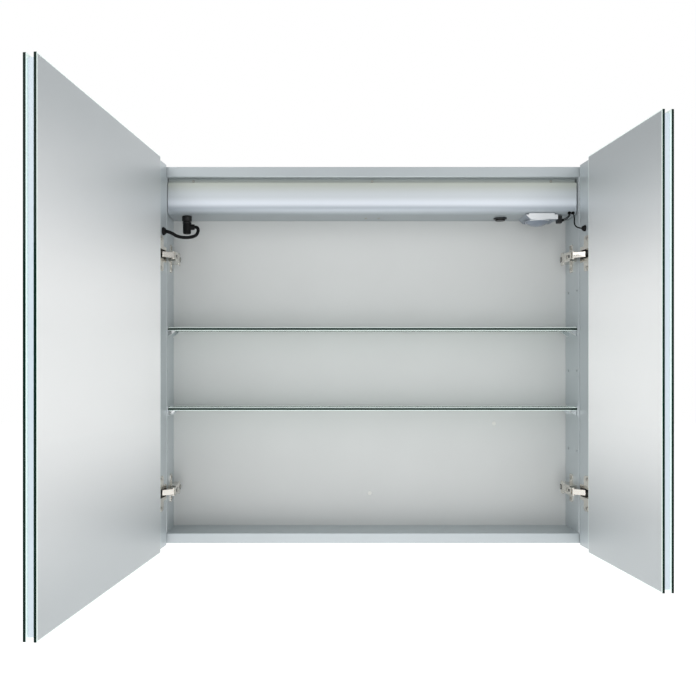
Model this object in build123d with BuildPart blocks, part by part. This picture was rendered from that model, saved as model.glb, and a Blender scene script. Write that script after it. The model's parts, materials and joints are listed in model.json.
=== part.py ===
from build123d import *
from math import cos, pi, radians, sin, tan
import os

os.makedirs("parts", exist_ok=True)

# ---------------------------------------------------------------------------
# Medicine cabinet with two mirror doors, standing open.  Millimetres.
# X runs along the wall, Y into the wall, Z up.  The origin is on the wall
# plane, at the middle of the wall rail's screw line.
# ---------------------------------------------------------------------------

# Body: four mitred hollow profiles round a back panel
body_w = 790.0
body_h = 688.0
body_d = 100.0
frame_t = 18.5          # thickness of the four profiles
frame_wall = 1.8        # wall of their hollow cells
frame_edge_r = 1.2      # rounding of the front edges
inner_d = 73.0          # front plane to the back panel's face
back_t = 3.0
groove_depth = 5.0      # groove that holds the back panel
groove_clear = 0.1
groove_end_clear = 0.5
hang_drop = 60.0        # screw line of the wall rail to the top of the body
corner_arm = 60.0       # leg of the corner connectors
corner_clear = 0.2

# Doors
door_over_w = 5.0       # shut doors past the body, each side
door_over_h = 6.0       # doors past the body, top and bottom
left_w = 501.0          # the right door takes the rest
door_gap = 3.0          # between the two shut doors
mirror_t = 4.0
door_frame_t = 10.0
door_reveal = 2.0       # shut door's inner mirror to the body's front plane
strip_w = 44.0          # bare strip beside the hinges
mirror_over = 4.0       # mirrors stand past the door frame, top, bottom and free edge
hinge_over = 2.0        # outer mirror past the door frame at the hinge edge
hinge_stile_w = 60.0
stile_w = 25.0
diffuser_t = 3.0
diffuser_inset = 0.5
led_slot_w = 6.0
led_slot_depth = 2.5
led_clear = 0.3
mirror_bevel = 1.2
left_open = 97.8        # opening angles of the doors as they stand
right_open = 93.8

# Pole that each door turns about, from the body's outer face and front plane
pole_in = 8.2
pole_out = 14.95

# Hinges
hinge_top_drop = 163.0  # body top to the upper hinges
hinge_foot_rise = 96.0  # body bottom to the lower hinges
pot_clear = 0.15
pot_in = 3.7            # hinge edge of the door frame to the pot
pot_len = 36.6
pot_h = 26.0
pot_depth = 9.5
pot_wall = 0.8
pot_mouth_h = 16.0
wing_t = 1.2
wing_h = 63.4
cup_screw_in = 33.0
cup_screw_pitch = 52.0
nose_in = 32.0          # arm's nose pin, from the outer face and the front plane
nose_out = 10.0
nose_r = 2.8
arm_rise = 4.5          # body's inner face to the open side of the arm's channel
arm_t = 1.4
arm_w = 17.0
arm_nose_w = 13.0
arm_back = 60.0         # arm's tail behind the front plane
plate_line = 37.0       # screw line of the mounting plates
plate_wing_h = 52.0
plate_wing_t = 2.2
plate_screw_pitch = 40.0
pin_r = 1.5
pin_fit = 0.06
link_len = 21.0
link_half = 2.0
link_w = 9.6
link_shut = 190.0       # link's direction with the door shut
link_swing = 46.0       # link's turn while the left door opens
screw_r = 1.75
screw_fit = 0.05

# Shelves
row_top = 118.5         # highest row of shelf holes above mid-height
row_pitch = 73.5
row_count = 5
shelf_rows = (1, 3)
hole_front = 10.0
hole_back = 57.0
hole_r = 2.5
shelf_t = 6.0
shelf_front = 7.0
shelf_d = 62.0
shelf_clear = 1.2
clip_len = 13.0
clip_w = 9.0
clip_drop = 10.5
clip_lip = 2.5
clip_fit = 0.05

# Light and driver housing under the top profile
housing_end_left = 1.0  # gaps at the housing's ends
housing_end_right = 2.0
housing_h = 66.9
housing_corner_r = 11.0
housing_lip = 12.0
cap_t = 2.0
housing_front = 6.0     # face behind the front plane
housing_t = 1.5
flange_back = 14.0
flange_h = 8.8
housing_seat = 0.3
band_screw_end = 46.5   # inner faces to the band's outer screws

# Devices on the housing's underside, from the inner faces and the front plane
button_in = 133.1
button_back = 43.0
button_r = 9.0
button_travel = 2.0
bezel_r = 12.6
socket_in = 32.8
socket_back = 26.0
sensor_in = 65.0
sensor_w = 59.0
sensor_front = 8.0
sensor_d = 52.0
sensor_h = 8.5
lens_in = 66.5
lens_back = 34.0
lens_r = 23.5
lens_drop = 9.5
driver_screw_x = (-9.5, 14.6)  # from mid-width

# Leads
door_lead_d = 6.0
thin_lead_d = 2.4
bush_in = (14.3, 7.5)   # inner face to the bushes of the sensor's wires and the thin lead

# Wall rail and hangers
rail_end = 45.0         # body's outer face to the rail's end
rail_hole_pitch = 300.0
rail_hole_r = 2.75
rail_t = 2.0

# ---------------------------------------------------------------------------
# Levels and places worked out from the sizes above
# ---------------------------------------------------------------------------
front_y = -body_d
back_y = front_y + inner_d
body_top = hang_drop
body_foot = body_top - body_h
body_mid = (body_top + body_foot) / 2
half_w = body_w / 2
half_in = half_w - frame_t
inner_top = body_top - frame_t
inner_foot = body_foot + frame_t
hinge_levels = (body_top - hinge_top_drop, body_foot + hinge_foot_rise)
rows = [body_mid + row_top - i * row_pitch for i in range(row_count)]
housing_foot = inner_top - housing_h
link_ratio = -link_swing / left_open
arm_in = frame_t + arm_rise
strip_y = door_reveal + mirror_t        # shut door's bare strip, in front of the front plane
doors_w = body_w + 2 * door_over_w
door_h = body_h + 2 * door_over_h
frame_over = door_over_w - hinge_over
right_w = doors_w - left_w - door_gap
door_foot = body_foot - door_over_h
frame_h = door_h - 2 * mirror_over


def wall_plane(y):
    """Upright plane facing the room at depth y: local x is X and local y is Z."""
    return Plane(origin=(0, y, 0), x_dir=(1, 0, 0), z_dir=(0, -1, 0))


def rect(x0, x1, y0, y1, mode=Mode.ADD):
    """Rectangle between two corners of the current sketch."""
    with Locations(((x0 + x1) / 2, (y0 + y1) / 2)):
        Rectangle(abs(x1 - x0), abs(y1 - y0), mode=mode)


def round_rect(x0, x1, y0, y1, r, mode=Mode.ADD):
    """Rectangle between two corners, its corners rounded."""
    with Locations(((x0 + x1) / 2, (y0 + y1) / 2)):
        RectangleRounded(abs(x1 - x0), abs(y1 - y0), r, mode=mode)


# ---------------------------------------------------------------------------
# Body frame: each profile is drawn in its own plane, where local x runs from
# the outer face inwards and local y from the front (negative) to the wall (0).
# ---------------------------------------------------------------------------
profile_planes = {
    "left_side_panel": Plane(origin=(-half_w, 0, body_foot), x_dir=(1, 0, 0), z_dir=(0, 0, 1)),
    "right_side_panel": Plane(origin=(half_w, 0, body_top), x_dir=(-1, 0, 0), z_dir=(0, 0, -1)),
    "top_panel": Plane(origin=(-half_w, 0, body_top), x_dir=(0, 0, -1), z_dir=(1, 0, 0)),
    "bottom_panel": Plane(origin=(half_w, 0, body_foot), x_dir=(0, 0, 1), z_dir=(-1, 0, 0)),
}
cell_out = frame_wall
cell_in = frame_t - frame_wall
web_y = front_y + plate_line
web_half = 1.5
groove_solid = 2.0

for name, plane in profile_planes.items():
    is_side = name.endswith("side_panel")
    length = body_h if is_side else body_w
    with BuildPart() as profile:
        with BuildSketch(plane):
            rect(0, frame_t, -body_d, 0)
            fillet(vertices().group_by(Axis(plane.origin, plane.y_dir))[0], frame_edge_r)
            rect(cell_out, cell_in, front_y + frame_wall, web_y - web_half, Mode.SUBTRACT)
            rect(cell_out, cell_in, web_y + web_half, back_y - groove_solid, Mode.SUBTRACT)
            rect(cell_out, cell_in, back_y + back_t + groove_solid, -frame_wall, Mode.SUBTRACT)
            rect(
                frame_t - groove_depth,
                frame_t,
                back_y - groove_clear,
                back_y + back_t + groove_clear,
                Mode.SUBTRACT,
            )
        extrude(amount=length)
        split(bisect_by=Plane(plane.origin, x_dir=plane.y_dir, z_dir=plane.z_dir - plane.x_dir))
        far_end = plane.origin + plane.z_dir * length
        split(bisect_by=Plane(far_end, x_dir=plane.y_dir, z_dir=-plane.z_dir - plane.x_dir))
        if is_side:
            side = -1 if name.startswith("left") else 1
            with BuildSketch(Plane(origin=(side * half_in, 0, 0), x_dir=(0, 1, 0), z_dir=(1, 0, 0))):
                with Locations([(front_y + d, z) for d in (hole_front, hole_back) for z in rows]):
                    Circle(hole_r)
            extrude(amount=side * (frame_wall + 1), mode=Mode.SUBTRACT)
            with BuildSketch(Plane(origin=(side * half_in, 0, 0), x_dir=(0, 1, 0), z_dir=(1, 0, 0))):
                for level in hinge_levels:
                    with Locations((web_y, level)):
                        with GridLocations(1, plate_screw_pitch, 1, 2):
                            Circle(screw_r + screw_fit)
            extrude(amount=side * 12, mode=Mode.SUBTRACT)
    profile.part.label = name
    export_step(profile.part, f"parts/{name}.step")


def screw(plane, length, head_r=3.3, head_h=1.6):
    """Pan-head screw: its head stands on the plane and its shank goes back from it."""
    with BuildPart() as made:
        with BuildSketch(plane):
            Circle(screw_r)
        extrude(amount=-length)
        with BuildSketch(plane):
            Circle(head_r)
        extrude(amount=head_h)
        fillet(made.faces().sort_by(Axis(plane.origin, plane.z_dir))[-1].edges(), head_h / 2)
        with BuildSketch(plane.offset(head_h)):
            Rectangle(head_r * 1.1, 0.8)
            Rectangle(0.8, head_r * 1.1)
        extrude(amount=-head_h / 2, mode=Mode.SUBTRACT)
    return made.part


def save(made, name):
    """Label a finished piece and write its file."""
    made.part.label = name
    export_step(made.part, f"parts/{name}.step")


def body_section(side, z0, z1):
    """Level plane at one side: x inwards from the outer face, y forwards of the front plane."""
    level = z1 if side < 0 else z0
    return Plane(origin=(side * half_w, front_y, level), x_dir=(-side, 0, 0), z_dir=(0, 0, side))


def door_section(side, z0, z1):
    """Level plane of an open door: x from its hinge edge, y outwards from the bare strip."""
    turn = radians(left_open if side < 0 else right_open)
    du = -frame_over - pole_in
    dv = strip_y - pole_out
    u = pole_in + du * cos(turn) - dv * sin(turn)
    v = pole_out + du * sin(turn) + dv * cos(turn)
    level = z1 if side < 0 else z0
    return Plane(
        origin=(side * (half_w - u), front_y - v, level),
        x_dir=(-side * cos(turn), -sin(turn), 0),
        z_dir=(0, 0, side),
    )


def door_face(side, level, depth=0.0):
    """Upright plane on an open door's bare strip: x from its hinge edge, z into the cabinet."""
    base = door_section(side, level, level)
    return Plane(origin=base.origin + base.y_dir * depth, x_dir=base.x_dir, z_dir=-base.y_dir)


def side_section(x):
    """Upright plane across the body at x: local x is Y and local y is Z."""
    return Plane(origin=(x, 0, 0), x_dir=(0, 1, 0), z_dir=(1, 0, 0))


# ---------------------------------------------------------------------------
# Back panel and what stands behind it
# ---------------------------------------------------------------------------
panel_half = half_in + groove_depth - groove_end_clear
panel_top = inner_top + groove_depth - groove_end_clear
panel_foot = inner_foot - groove_depth + groove_end_clear
gland_x = 120.0
gland_z = 8.0
gland_r = 8.0
gland_bore = 4.0
gland_flange = 12.0
plug_spots = ((0.0, body_mid - 264), (239.0, body_mid - 130))
plug_r = 2.4

with BuildPart() as back_panel:
    with BuildSketch(wall_plane(back_y + back_t)):
        rect(-panel_half, panel_half, panel_foot, panel_top)
        with Locations((gland_x, gland_z)):
            Circle(gland_r + screw_fit, mode=Mode.SUBTRACT)
        with Locations(*plug_spots):
            Circle(plug_r + screw_fit, mode=Mode.SUBTRACT)
    extrude(amount=back_t)
save(back_panel, "back_panel")

with BuildPart() as back_plugs:
    with BuildSketch(wall_plane(back_y + back_t)):
        with Locations(*plug_spots):
            Circle(plug_r)
    extrude(amount=back_t)
    with BuildSketch(wall_plane(back_y)):
        with Locations(*plug_spots):
            Circle(plug_r + 1.4)
    extrude(amount=1.2, taper=20)
save(back_plugs, "back_plugs")

# Mains gland: the way in for the supply lead, which the fitter brings
with BuildPart() as mains_gland:
    with BuildSketch(wall_plane(back_y + back_t)):
        with Locations((gland_x, gland_z)):
            Circle(gland_r)
    extrude(amount=back_t)
    with BuildSketch(wall_plane(back_y)):
        with Locations((gland_x, gland_z)):
            RegularPolygon(gland_flange, 6)
    extrude(amount=5)
    with BuildSketch(wall_plane(back_y + back_t + 6)):
        with Locations((gland_x, gland_z)):
            Circle(gland_flange)
    extrude(amount=6)
    with BuildSketch(wall_plane(0)):
        with Locations((gland_x, gland_z)):
            Circle(gland_bore)
    extrude(amount=60, mode=Mode.SUBTRACT)
save(mains_gland, "mains_gland")

# Corner connectors: angles pushed into the profiles' front cells
with BuildPart() as corner_connectors:
    with BuildSketch(wall_plane(web_y - web_half - corner_clear)):
        for sx in (-1, 1):
            for z_out, sz in ((body_top, -1), (body_foot, 1)):
                x_a = sx * (half_w - cell_out - corner_clear)
                x_b = sx * (half_w - cell_in + corner_clear)
                z_a = z_out + sz * (cell_out + corner_clear)
                z_b = z_out + sz * (cell_in - corner_clear)
                z_c = z_out + sz * corner_arm
                rect(x_a, x_b, z_a, z_c)
                x_c = sx * (half_w - corner_arm)
                rect(x_a, x_c, z_a, z_b)
    extrude(amount=web_y - web_half - corner_clear - (front_y + frame_wall + corner_clear))
save(corner_connectors, "corner_connectors")

# Wall rail: screwed to the wall; the hooks hang on its upturned lip
rail_foot = -18.0
rail_shelf = 16.0
rail_lip = 26.0
rail_step = 10.0
rail_len = body_w - 2 * rail_end
rail_holes = [(-rail_hole_pitch, 0), (0, 0), (rail_hole_pitch, 0)]

with BuildPart() as wall_rail:
    with BuildSketch(side_section(-rail_len / 2)):
        rect(-rail_t, 0, rail_foot, rail_shelf)
        rect(-rail_step, 0, rail_shelf - rail_t, rail_shelf)
        rect(-rail_step, -rail_step + rail_t, rail_shelf - rail_t, rail_lip)
    extrude(amount=rail_len)
    with BuildSketch(wall_plane(0)):
        with Locations(*rail_holes):
            Circle(rail_hole_r)
    extrude(amount=rail_t + 1, mode=Mode.SUBTRACT)
save(wall_rail, "wall_rail")

hook_w = 40.0
hook_gap = 0.3
hook_front = back_y + back_t

with BuildPart() as hanging_hooks:
    for x0 in (-half_in, half_in - hook_w):
        with BuildSketch(side_section(x0)):
            rect(hook_front, -rail_step - 2.5, -12, rail_lip + 9)
            rect(hook_front, -3.5, rail_lip, rail_lip + 9)
            rect(-rail_step + rail_t + hook_gap, -3.5, rail_shelf + 2, rail_lip + 9)
        extrude(amount=hook_w)
save(hanging_hooks, "hanging_hooks")

spacer_w = 30.0
with BuildPart() as lower_spacers:
    with BuildSketch(wall_plane(0)):
        for x0 in (-half_in, half_in - spacer_w):
            round_rect(x0, x0 + spacer_w, inner_foot, inner_foot + 40, 2)
    extrude(amount=-hook_front)
save(lower_spacers, "lower_spacers")

# ---------------------------------------------------------------------------
# Housing for the driver, hung under the top profile
# ---------------------------------------------------------------------------
house_x0 = -half_in + housing_end_left
house_x1 = half_in - housing_end_right
housing_len = house_x1 - house_x0
face_y = front_y + housing_front
band_y = front_y + flange_back
house_back = back_y - housing_seat
house_top = inner_top - housing_seat
shoulder = house_top - flange_h
floor_z = housing_foot + housing_t
rail_leaf = 2.0
rail_seat_w = 26.0
screw_z = shoulder + flange_h / 2
band_screw_x = half_in - band_screw_end
screw_xs = (-band_screw_x, 0.0, band_screw_x)
bush_xs = [half_in - x for x in bush_in]
bush_r = 2.2
bush_dir = Vector(0, -1, -1).normalized()
bend_y = face_y + housing_corner_r
bend_z = housing_foot + housing_corner_r
socket_at = (socket_in - half_in, front_y + socket_back)
socket_r = 6.0
button_at = (half_in - button_in, front_y + button_back)
barrel_r = 11.0
block_at = ((driver_screw_x[0] + driver_screw_x[1]) / 2, front_y + button_back)


def bush_plane(x, out):
    """Plane across a bush in the housing's rounded corner, at a distance from the corner's centre."""
    centre = Vector(x, bend_y, bend_z)
    return Plane(origin=centre + bush_dir * out, x_dir=(1, 0, 0), z_dir=bush_dir)


with BuildPart() as housing_cover:
    with BuildSketch(side_section(house_x0 + cap_t)):
        rect(band_y, band_y + housing_t, shoulder - housing_t, house_top)
        rect(face_y, band_y + housing_t, shoulder - housing_t, shoulder)
        rect(face_y, face_y + housing_t, bend_z, shoulder)
        with Locations((bend_y, bend_z)):
            Circle(housing_corner_r)
            Circle(housing_corner_r - housing_t, mode=Mode.SUBTRACT)
        past_y = bend_y + 2 * housing_corner_r
        past_z = bend_z + 2 * housing_corner_r
        rect(face_y + housing_t, past_y, bend_z, past_z, Mode.SUBTRACT)
        rect(bend_y, past_y, housing_foot, past_z, Mode.SUBTRACT)
        rect(bend_y, house_back, housing_foot, floor_z)
        rect(house_back - housing_t, house_back, housing_foot, housing_foot + housing_lip)
    extrude(amount=housing_len - 2 * cap_t)
    with BuildSketch(wall_plane(band_y + housing_t)):
        with Locations([(x, screw_z) for x in screw_xs]):
            Circle(screw_r + screw_fit)
    extrude(amount=housing_t, mode=Mode.SUBTRACT)
    with BuildSketch(Plane.XY.offset(housing_foot)):
        with Locations(socket_at):
            Circle(socket_r + pot_clear)
        with Locations(button_at):
            Circle(barrel_r + pot_clear)
        with Locations([(x, block_at[1]) for x in driver_screw_x]):
            Circle(screw_r + screw_fit)
    extrude(amount=housing_t, mode=Mode.SUBTRACT)
    for x in bush_xs:
        with BuildSketch(bush_plane(x, housing_corner_r - 3)):
            Circle(bush_r + screw_fit)
        extrude(amount=6, mode=Mode.SUBTRACT)
save(housing_cover, "housing_cover")

for name, x0 in (("housing_left_cap", house_x0), ("housing_right_cap", house_x1 - cap_t)):
    with BuildPart() as cap:
        with BuildSketch(side_section(x0)) as outline:
            rect(face_y, house_back, housing_foot, shoulder)
            fillet(outline.vertices().group_by(Axis.Z)[0].sort_by(Axis.Y)[0], housing_corner_r)
            rect(band_y, house_back, shoulder, house_top)
        extrude(amount=cap_t)
    save(cap, name)

# Angle on the top profile that the housing's band is screwed to
with BuildPart() as housing_rail:
    with BuildSketch(side_section(house_x0 + 12)):
        rect(band_y + housing_t, band_y + housing_t + rail_leaf, shoulder + 1, inner_top)
        rect(band_y + housing_t, band_y + rail_seat_w, inner_top - rail_leaf, inner_top)
    extrude(amount=housing_len - 24)
    with BuildSketch(wall_plane(band_y + housing_t + rail_leaf)):
        with Locations([(x, screw_z) for x in screw_xs]):
            Circle(screw_r + screw_fit)
    extrude(amount=rail_leaf, mode=Mode.SUBTRACT)
save(housing_rail, "housing_rail")

small_head_r = 2.6
small_head_h = 1.3
with BuildPart() as housing_screws:
    for x in screw_xs:
        seat = Plane(origin=(x, band_y, screw_z), x_dir=(1, 0, 0), z_dir=(0, -1, 0))
        add(screw(seat, 5, small_head_r, small_head_h))
    for x in driver_screw_x:
        seat = Plane(origin=(x, block_at[1], housing_foot), x_dir=(1, 0, 0), z_dir=(0, 0, -1))
        add(screw(seat, 8, small_head_r, small_head_h))
save(housing_screws, "housing_screws")

# Terminal block over its two screws, and the driver beside it
with BuildPart() as terminal_block:
    with BuildSketch(Plane.XY.offset(floor_z)):
        with Locations(block_at):
            RectangleRounded(44, 20, 2)
        with Locations([(x, block_at[1]) for x in driver_screw_x]):
            Circle(screw_r + screw_fit, mode=Mode.SUBTRACT)
    extrude(amount=18)
    with BuildSketch(Plane.XY.offset(floor_z + 18)):
        with Locations(block_at):
            with GridLocations(10, 11, 4, 2):
                Circle(2.6)
    extrude(amount=-5, mode=Mode.SUBTRACT)
save(terminal_block, "terminal_block")

driver_at = (-140.0, block_at[1])
with BuildPart() as led_driver:
    with BuildSketch(Plane.XY.offset(floor_z)):
        with Locations(driver_at):
            RectangleRounded(160, 40, 3)
    extrude(amount=28)
    fillet(led_driver.faces().sort_by(Axis.Z)[-1].edges(), 1.5)
save(led_driver, "led_driver")

# ---------------------------------------------------------------------------
# Push button on the underside: bezel with a closed barrel, cap and spring
# ---------------------------------------------------------------------------
cap_fit = 0.06
cap_proud = 3.0
bezel_t = 2.4
step_up = 3.4           # barrel's inner step above the underside
cap_flange = 1.5
spring_room = 8.0
spring_r = 5.0
spring_wire = 0.45
spring_turns = 5
barrel_in = barrel_r - 0.9
roof_z = housing_foot + step_up + cap_flange + spring_room

with BuildPart() as switch_bezel:
    with BuildSketch(Plane.XY.offset(housing_foot)):
        with Locations(button_at):
            Circle(bezel_r)
    extrude(amount=-bezel_t, taper=12)
    with BuildSketch(Plane.XY.offset(housing_foot)):
        with Locations(button_at):
            Circle(barrel_r)
    extrude(amount=roof_z + 1.2 - housing_foot)
    with BuildSketch(Plane.XY.offset(housing_foot - bezel_t)):
        with Locations(button_at):
            Circle(button_r + cap_fit)
    extrude(amount=bezel_t + step_up, mode=Mode.SUBTRACT)
    with BuildSketch(Plane.XY.offset(housing_foot + step_up)):
        with Locations(button_at):
            Circle(barrel_in)
    extrude(amount=roof_z - housing_foot - step_up, mode=Mode.SUBTRACT)
save(switch_bezel, "switch_bezel")

with BuildPart() as switch_button:
    with BuildSketch(Plane.XY.offset(housing_foot - bezel_t - cap_proud)):
        with Locations(button_at):
            Circle(button_r)
    extrude(amount=bezel_t + cap_proud + step_up)
    fillet(switch_button.faces().sort_by(Axis.Z)[0].edges(), 0.8)
    with BuildSketch(Plane.XY.offset(housing_foot + step_up + screw_fit)):
        with Locations(button_at):
            Circle(barrel_in - 0.1)
    extrude(amount=cap_flange - screw_fit)
    with BuildSketch(Plane.XY.offset(housing_foot + step_up)):
        with Locations(button_at):
            Circle(button_r - 2)
    extrude(amount=screw_fit)
save(switch_button, "switch_button")

with BuildPart() as switch_spring:
    spring_rise = spring_room - 2 * spring_wire - 0.1
    spring_foot = roof_z - spring_room + spring_wire + 0.05
    with BuildLine():
        Helix(
            pitch=spring_rise / spring_turns,
            height=spring_rise,
            radius=spring_r,
            center=(*button_at, spring_foot),
        )
    with BuildSketch(Plane(origin=(button_at[0] + spring_r, button_at[1], spring_foot), z_dir=(0, 1, 0))):
        Circle(spring_wire)
    sweep(is_frenet=True)
save(switch_spring, "switch_spring")

# ---------------------------------------------------------------------------
# Presence sensor under the housing, with its plug
# ---------------------------------------------------------------------------
sensor_y0 = front_y + sensor_front
sensor_foot = housing_foot - sensor_h
sensor_x0 = half_in - sensor_in - sensor_w / 2
sensor_x1 = sensor_x0 + sensor_w
lens_at = (half_in - lens_in, front_y + lens_back)
lens_sphere = (lens_r**2 + lens_drop**2) / (2 * lens_drop)

with BuildPart() as sensor_body:
    with BuildSketch(wall_plane(sensor_y0 + sensor_d)):
        Polygon(
            (sensor_x0, housing_foot),
            (sensor_x1, housing_foot),
            (sensor_x1, sensor_foot),
            (sensor_x0 + 9, sensor_foot),
            align=None,
        )
    extrude(amount=sensor_d)
    with BuildSketch(Plane.XY.offset(sensor_foot - 1.6)):
        with Locations(lens_at):
            Circle(lens_r + 1.8)
            Circle(lens_r + 0.1, mode=Mode.SUBTRACT)
    extrude(amount=1.6)
    with BuildSketch(side_section(sensor_x0 + 6)):
        rect(sensor_y0, sensor_y0 + 1.4, housing_foot - 1, housing_foot + 2.4)
    extrude(amount=sensor_w - 12)
save(sensor_body, "sensor_body")

with BuildPart() as sensor_lens:
    with Locations((*lens_at, sensor_foot - lens_drop + lens_sphere)):
        Sphere(lens_sphere)
    split(bisect_by=Plane.XY.offset(sensor_foot), keep=Keep.BOTTOM)
save(sensor_lens, "sensor_lens")

plug_x = sensor_x1
plug_y = front_y + 16
plug_top = housing_foot - 1.5
plug_w = 8.5
wire_pitch = 2.4
wire_r = 0.8
wire_z = plug_top - 7.0
with BuildPart() as sensor_plug:
    with BuildSketch(side_section(plug_x)):
        round_rect(plug_y - 5, plug_y + 5, plug_top - 13.5, plug_top, 1)
    extrude(amount=plug_w)
save(sensor_plug, "sensor_plug")

# ---------------------------------------------------------------------------
# Lead plug, its socket, and the leads
# ---------------------------------------------------------------------------
elbow_drop = 20.0
elbow_reach = 14.0
plug_len = 33.0
plug_collar_r = 8.75
plug_neck_r = 6.75
plug_body_r = 7.5
pin_len = 9.0
plug_pin_r = 2.5

with BuildPart() as lead_socket:
    with BuildSketch(Plane.XY.offset(housing_foot)):
        with Locations(socket_at):
            Circle(socket_r)
            Circle(plug_pin_r + pin_fit, mode=Mode.SUBTRACT)
    extrude(amount=16)
    with BuildSketch(Plane.XY.offset(floor_z)):
        with Locations(socket_at):
            Circle(socket_r + 3)
            Circle(socket_r - 1, mode=Mode.SUBTRACT)
    extrude(amount=3)
save(lead_socket, "lead_socket")

with BuildPart() as lead_plug:
    with BuildSketch(Plane(origin=(*socket_at, housing_foot), x_dir=(1, 0, 0), z_dir=(0, -1, 0))):
        with BuildLine():
            Polyline(
                (0, 0),
                (plug_collar_r, 0),
                (plug_collar_r, -1.5),
                (plug_neck_r, -6),
                (plug_neck_r, -9),
                (plug_body_r, -12),
                (plug_body_r, -plug_len),
                (0, -plug_len),
                close=True,
            )
        make_face()
    revolve(axis=Axis((*socket_at, 0), (0, 0, 1)))
    fillet(lead_plug.faces().sort_by(Axis.Z)[0].edges(), 2.5)
    with BuildSketch(Plane.XY.offset(housing_foot)):
        with Locations(socket_at):
            Circle(plug_pin_r)
    extrude(amount=pin_len)
    with BuildSketch(Plane(origin=(*socket_at, housing_foot - elbow_drop), x_dir=(0, 1, 0), z_dir=(1, 0, 0))):
        Circle(6.2)
    extrude(amount=elbow_reach, taper=5)
save(lead_plug, "lead_plug")

with BuildPart() as lead_bushes:
    for x in bush_xs:
        with BuildSketch(bush_plane(x, housing_corner_r - 3)):
            Circle(bush_r)
        extrude(amount=3)
        with BuildSketch(bush_plane(x, housing_corner_r)):
            Circle(bush_r + 1)
        extrude(amount=0.8)
save(lead_bushes, "lead_bushes")


def turn_between(a, b, c):
    """Half of the turn, in radians, at b on the way from a to c."""
    return radians((b - a).get_angle(c - b)) / 2


def route_radii(points, largest):
    """Largest tangent radius that fits at each corner of a route."""
    radii = []
    for a, b, c in zip(points, points[1:], points[2:]):
        run = min((b - a).length, (c - b).length)
        radii.append(min(largest, 0.45 * run / tan(turn_between(a, b, c))))
    return radii


def lead(name, points, diameter, largest):
    """Round lead along straight runs joined by tangent arcs."""
    points = [Vector(*p) for p in points]
    radii = route_radii(points, largest)
    with BuildPart() as made:
        with BuildLine() as route:
            FilletPolyline(*points, radius=radii)
        with BuildSketch(Plane(origin=points[0], z_dir=points[1] - points[0])):
            Circle(diameter / 2)
        sweep()
    length = sum(edge.length for edge in route.line.edges())
    share = made.part.volume / (length * pi * diameter**2 / 4)
    radii = [round(r, 1) for r in radii]
    print(name, "length", round(length, 1), "radii", radii, "volume share", round(share, 4))
    return made


grommet_t = 5.0
grommet_in = {-1: 19.0, 1: 22.0}
grommet_level = {-1: body_mid + 222.0, 1: body_mid + 227.0}
grommet_r = {-1: 7.5, 1: 5.4}
grommet_neck = {-1: 4.6, 1: 3.0}


def grommet_plane(side, out=0.0):
    """Plane of a lead grommet on an open door's strip, at a height out of the strip."""
    base = door_face(side, grommet_level[side])
    origin = base.origin + base.x_dir * grommet_in[side] + base.z_dir * out
    return Plane(origin=origin, x_dir=base.x_dir, z_dir=base.z_dir)


exit_run = {-1: 9.5, 1: 8.4}
left_mouth = grommet_plane(-1, grommet_t)
right_mouth = grommet_plane(1, grommet_t)
left_exit = left_mouth.origin + left_mouth.z_dir * exit_run[-1]
right_exit = right_mouth.origin + right_mouth.z_dir * exit_run[1]
elbow_x = socket_at[0] + elbow_reach
elbow_z = housing_foot - elbow_drop
left_route = [
    (elbow_x, socket_at[1], elbow_z),
    (elbow_x + 8, socket_at[1], elbow_z),
    (elbow_x + 6, socket_at[1] - 9, elbow_z - 19),
    (elbow_x - 7, front_y, elbow_z - 27.6),
    (elbow_x - 24, front_y - 17, elbow_z - 27.6),
    tuple(left_exit),
    tuple(left_mouth.origin),
]
save(lead("left_door_lead", left_route, door_lead_d, 40), "left_door_lead")

bush_out = bush_plane(bush_xs[1], housing_corner_r + 0.8).origin
bush_drop = bush_plane(bush_xs[1], housing_corner_r + 13).origin
right_route = [
    tuple(bush_out),
    tuple(bush_drop),
    (bush_xs[1] - 5.5, front_y - 12, housing_foot - 21.6),
    tuple(right_exit),
    tuple(right_mouth.origin),
]
save(lead("right_door_lead", right_route, thin_lead_d, 14), "right_door_lead")

sensor_bush = bush_plane(bush_xs[0], housing_corner_r + 0.8).origin
sensor_drop = bush_plane(bush_xs[0], housing_corner_r + 8).origin
wire_leads = []
for dz in (-wire_pitch / 2, wire_pitch / 2):
    shift = Vector(-dz * 0.75, 0, 0)
    start = Vector(plug_x + plug_w, plug_y, wire_z + dz)
    bend = Vector(plug_x + plug_w + 6.5 - dz / 2, plug_y, wire_z + dz)
    wire = [tuple(start), tuple(bend), tuple(sensor_drop + shift), tuple(sensor_bush + shift)]
    wire_leads.append(lead("sensor_leads", wire, 2 * wire_r, 5).part)
with BuildPart() as sensor_leads:
    add(wire_leads)
save(sensor_leads, "sensor_leads")

# ---------------------------------------------------------------------------
# Shelves and their clips
# ---------------------------------------------------------------------------
shelf_half = half_in - shelf_clear
chousing_lip = 1.0
clip_foot_t = 2.0
pin_depth = 6.0
for name, row in zip(("upper_shelf", "lower_shelf"), shelf_rows):
    foot = rows[row]
    with BuildPart() as shelf:
        with BuildSketch(Plane.XY.offset(foot)):
            rect(-shelf_half, shelf_half, front_y + shelf_front, front_y + shelf_front + shelf_d)
        extrude(amount=shelf_t)
        chamfer(shelf.edges().filter_by(Axis.X), 0.6)
    save(shelf, name)

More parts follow.
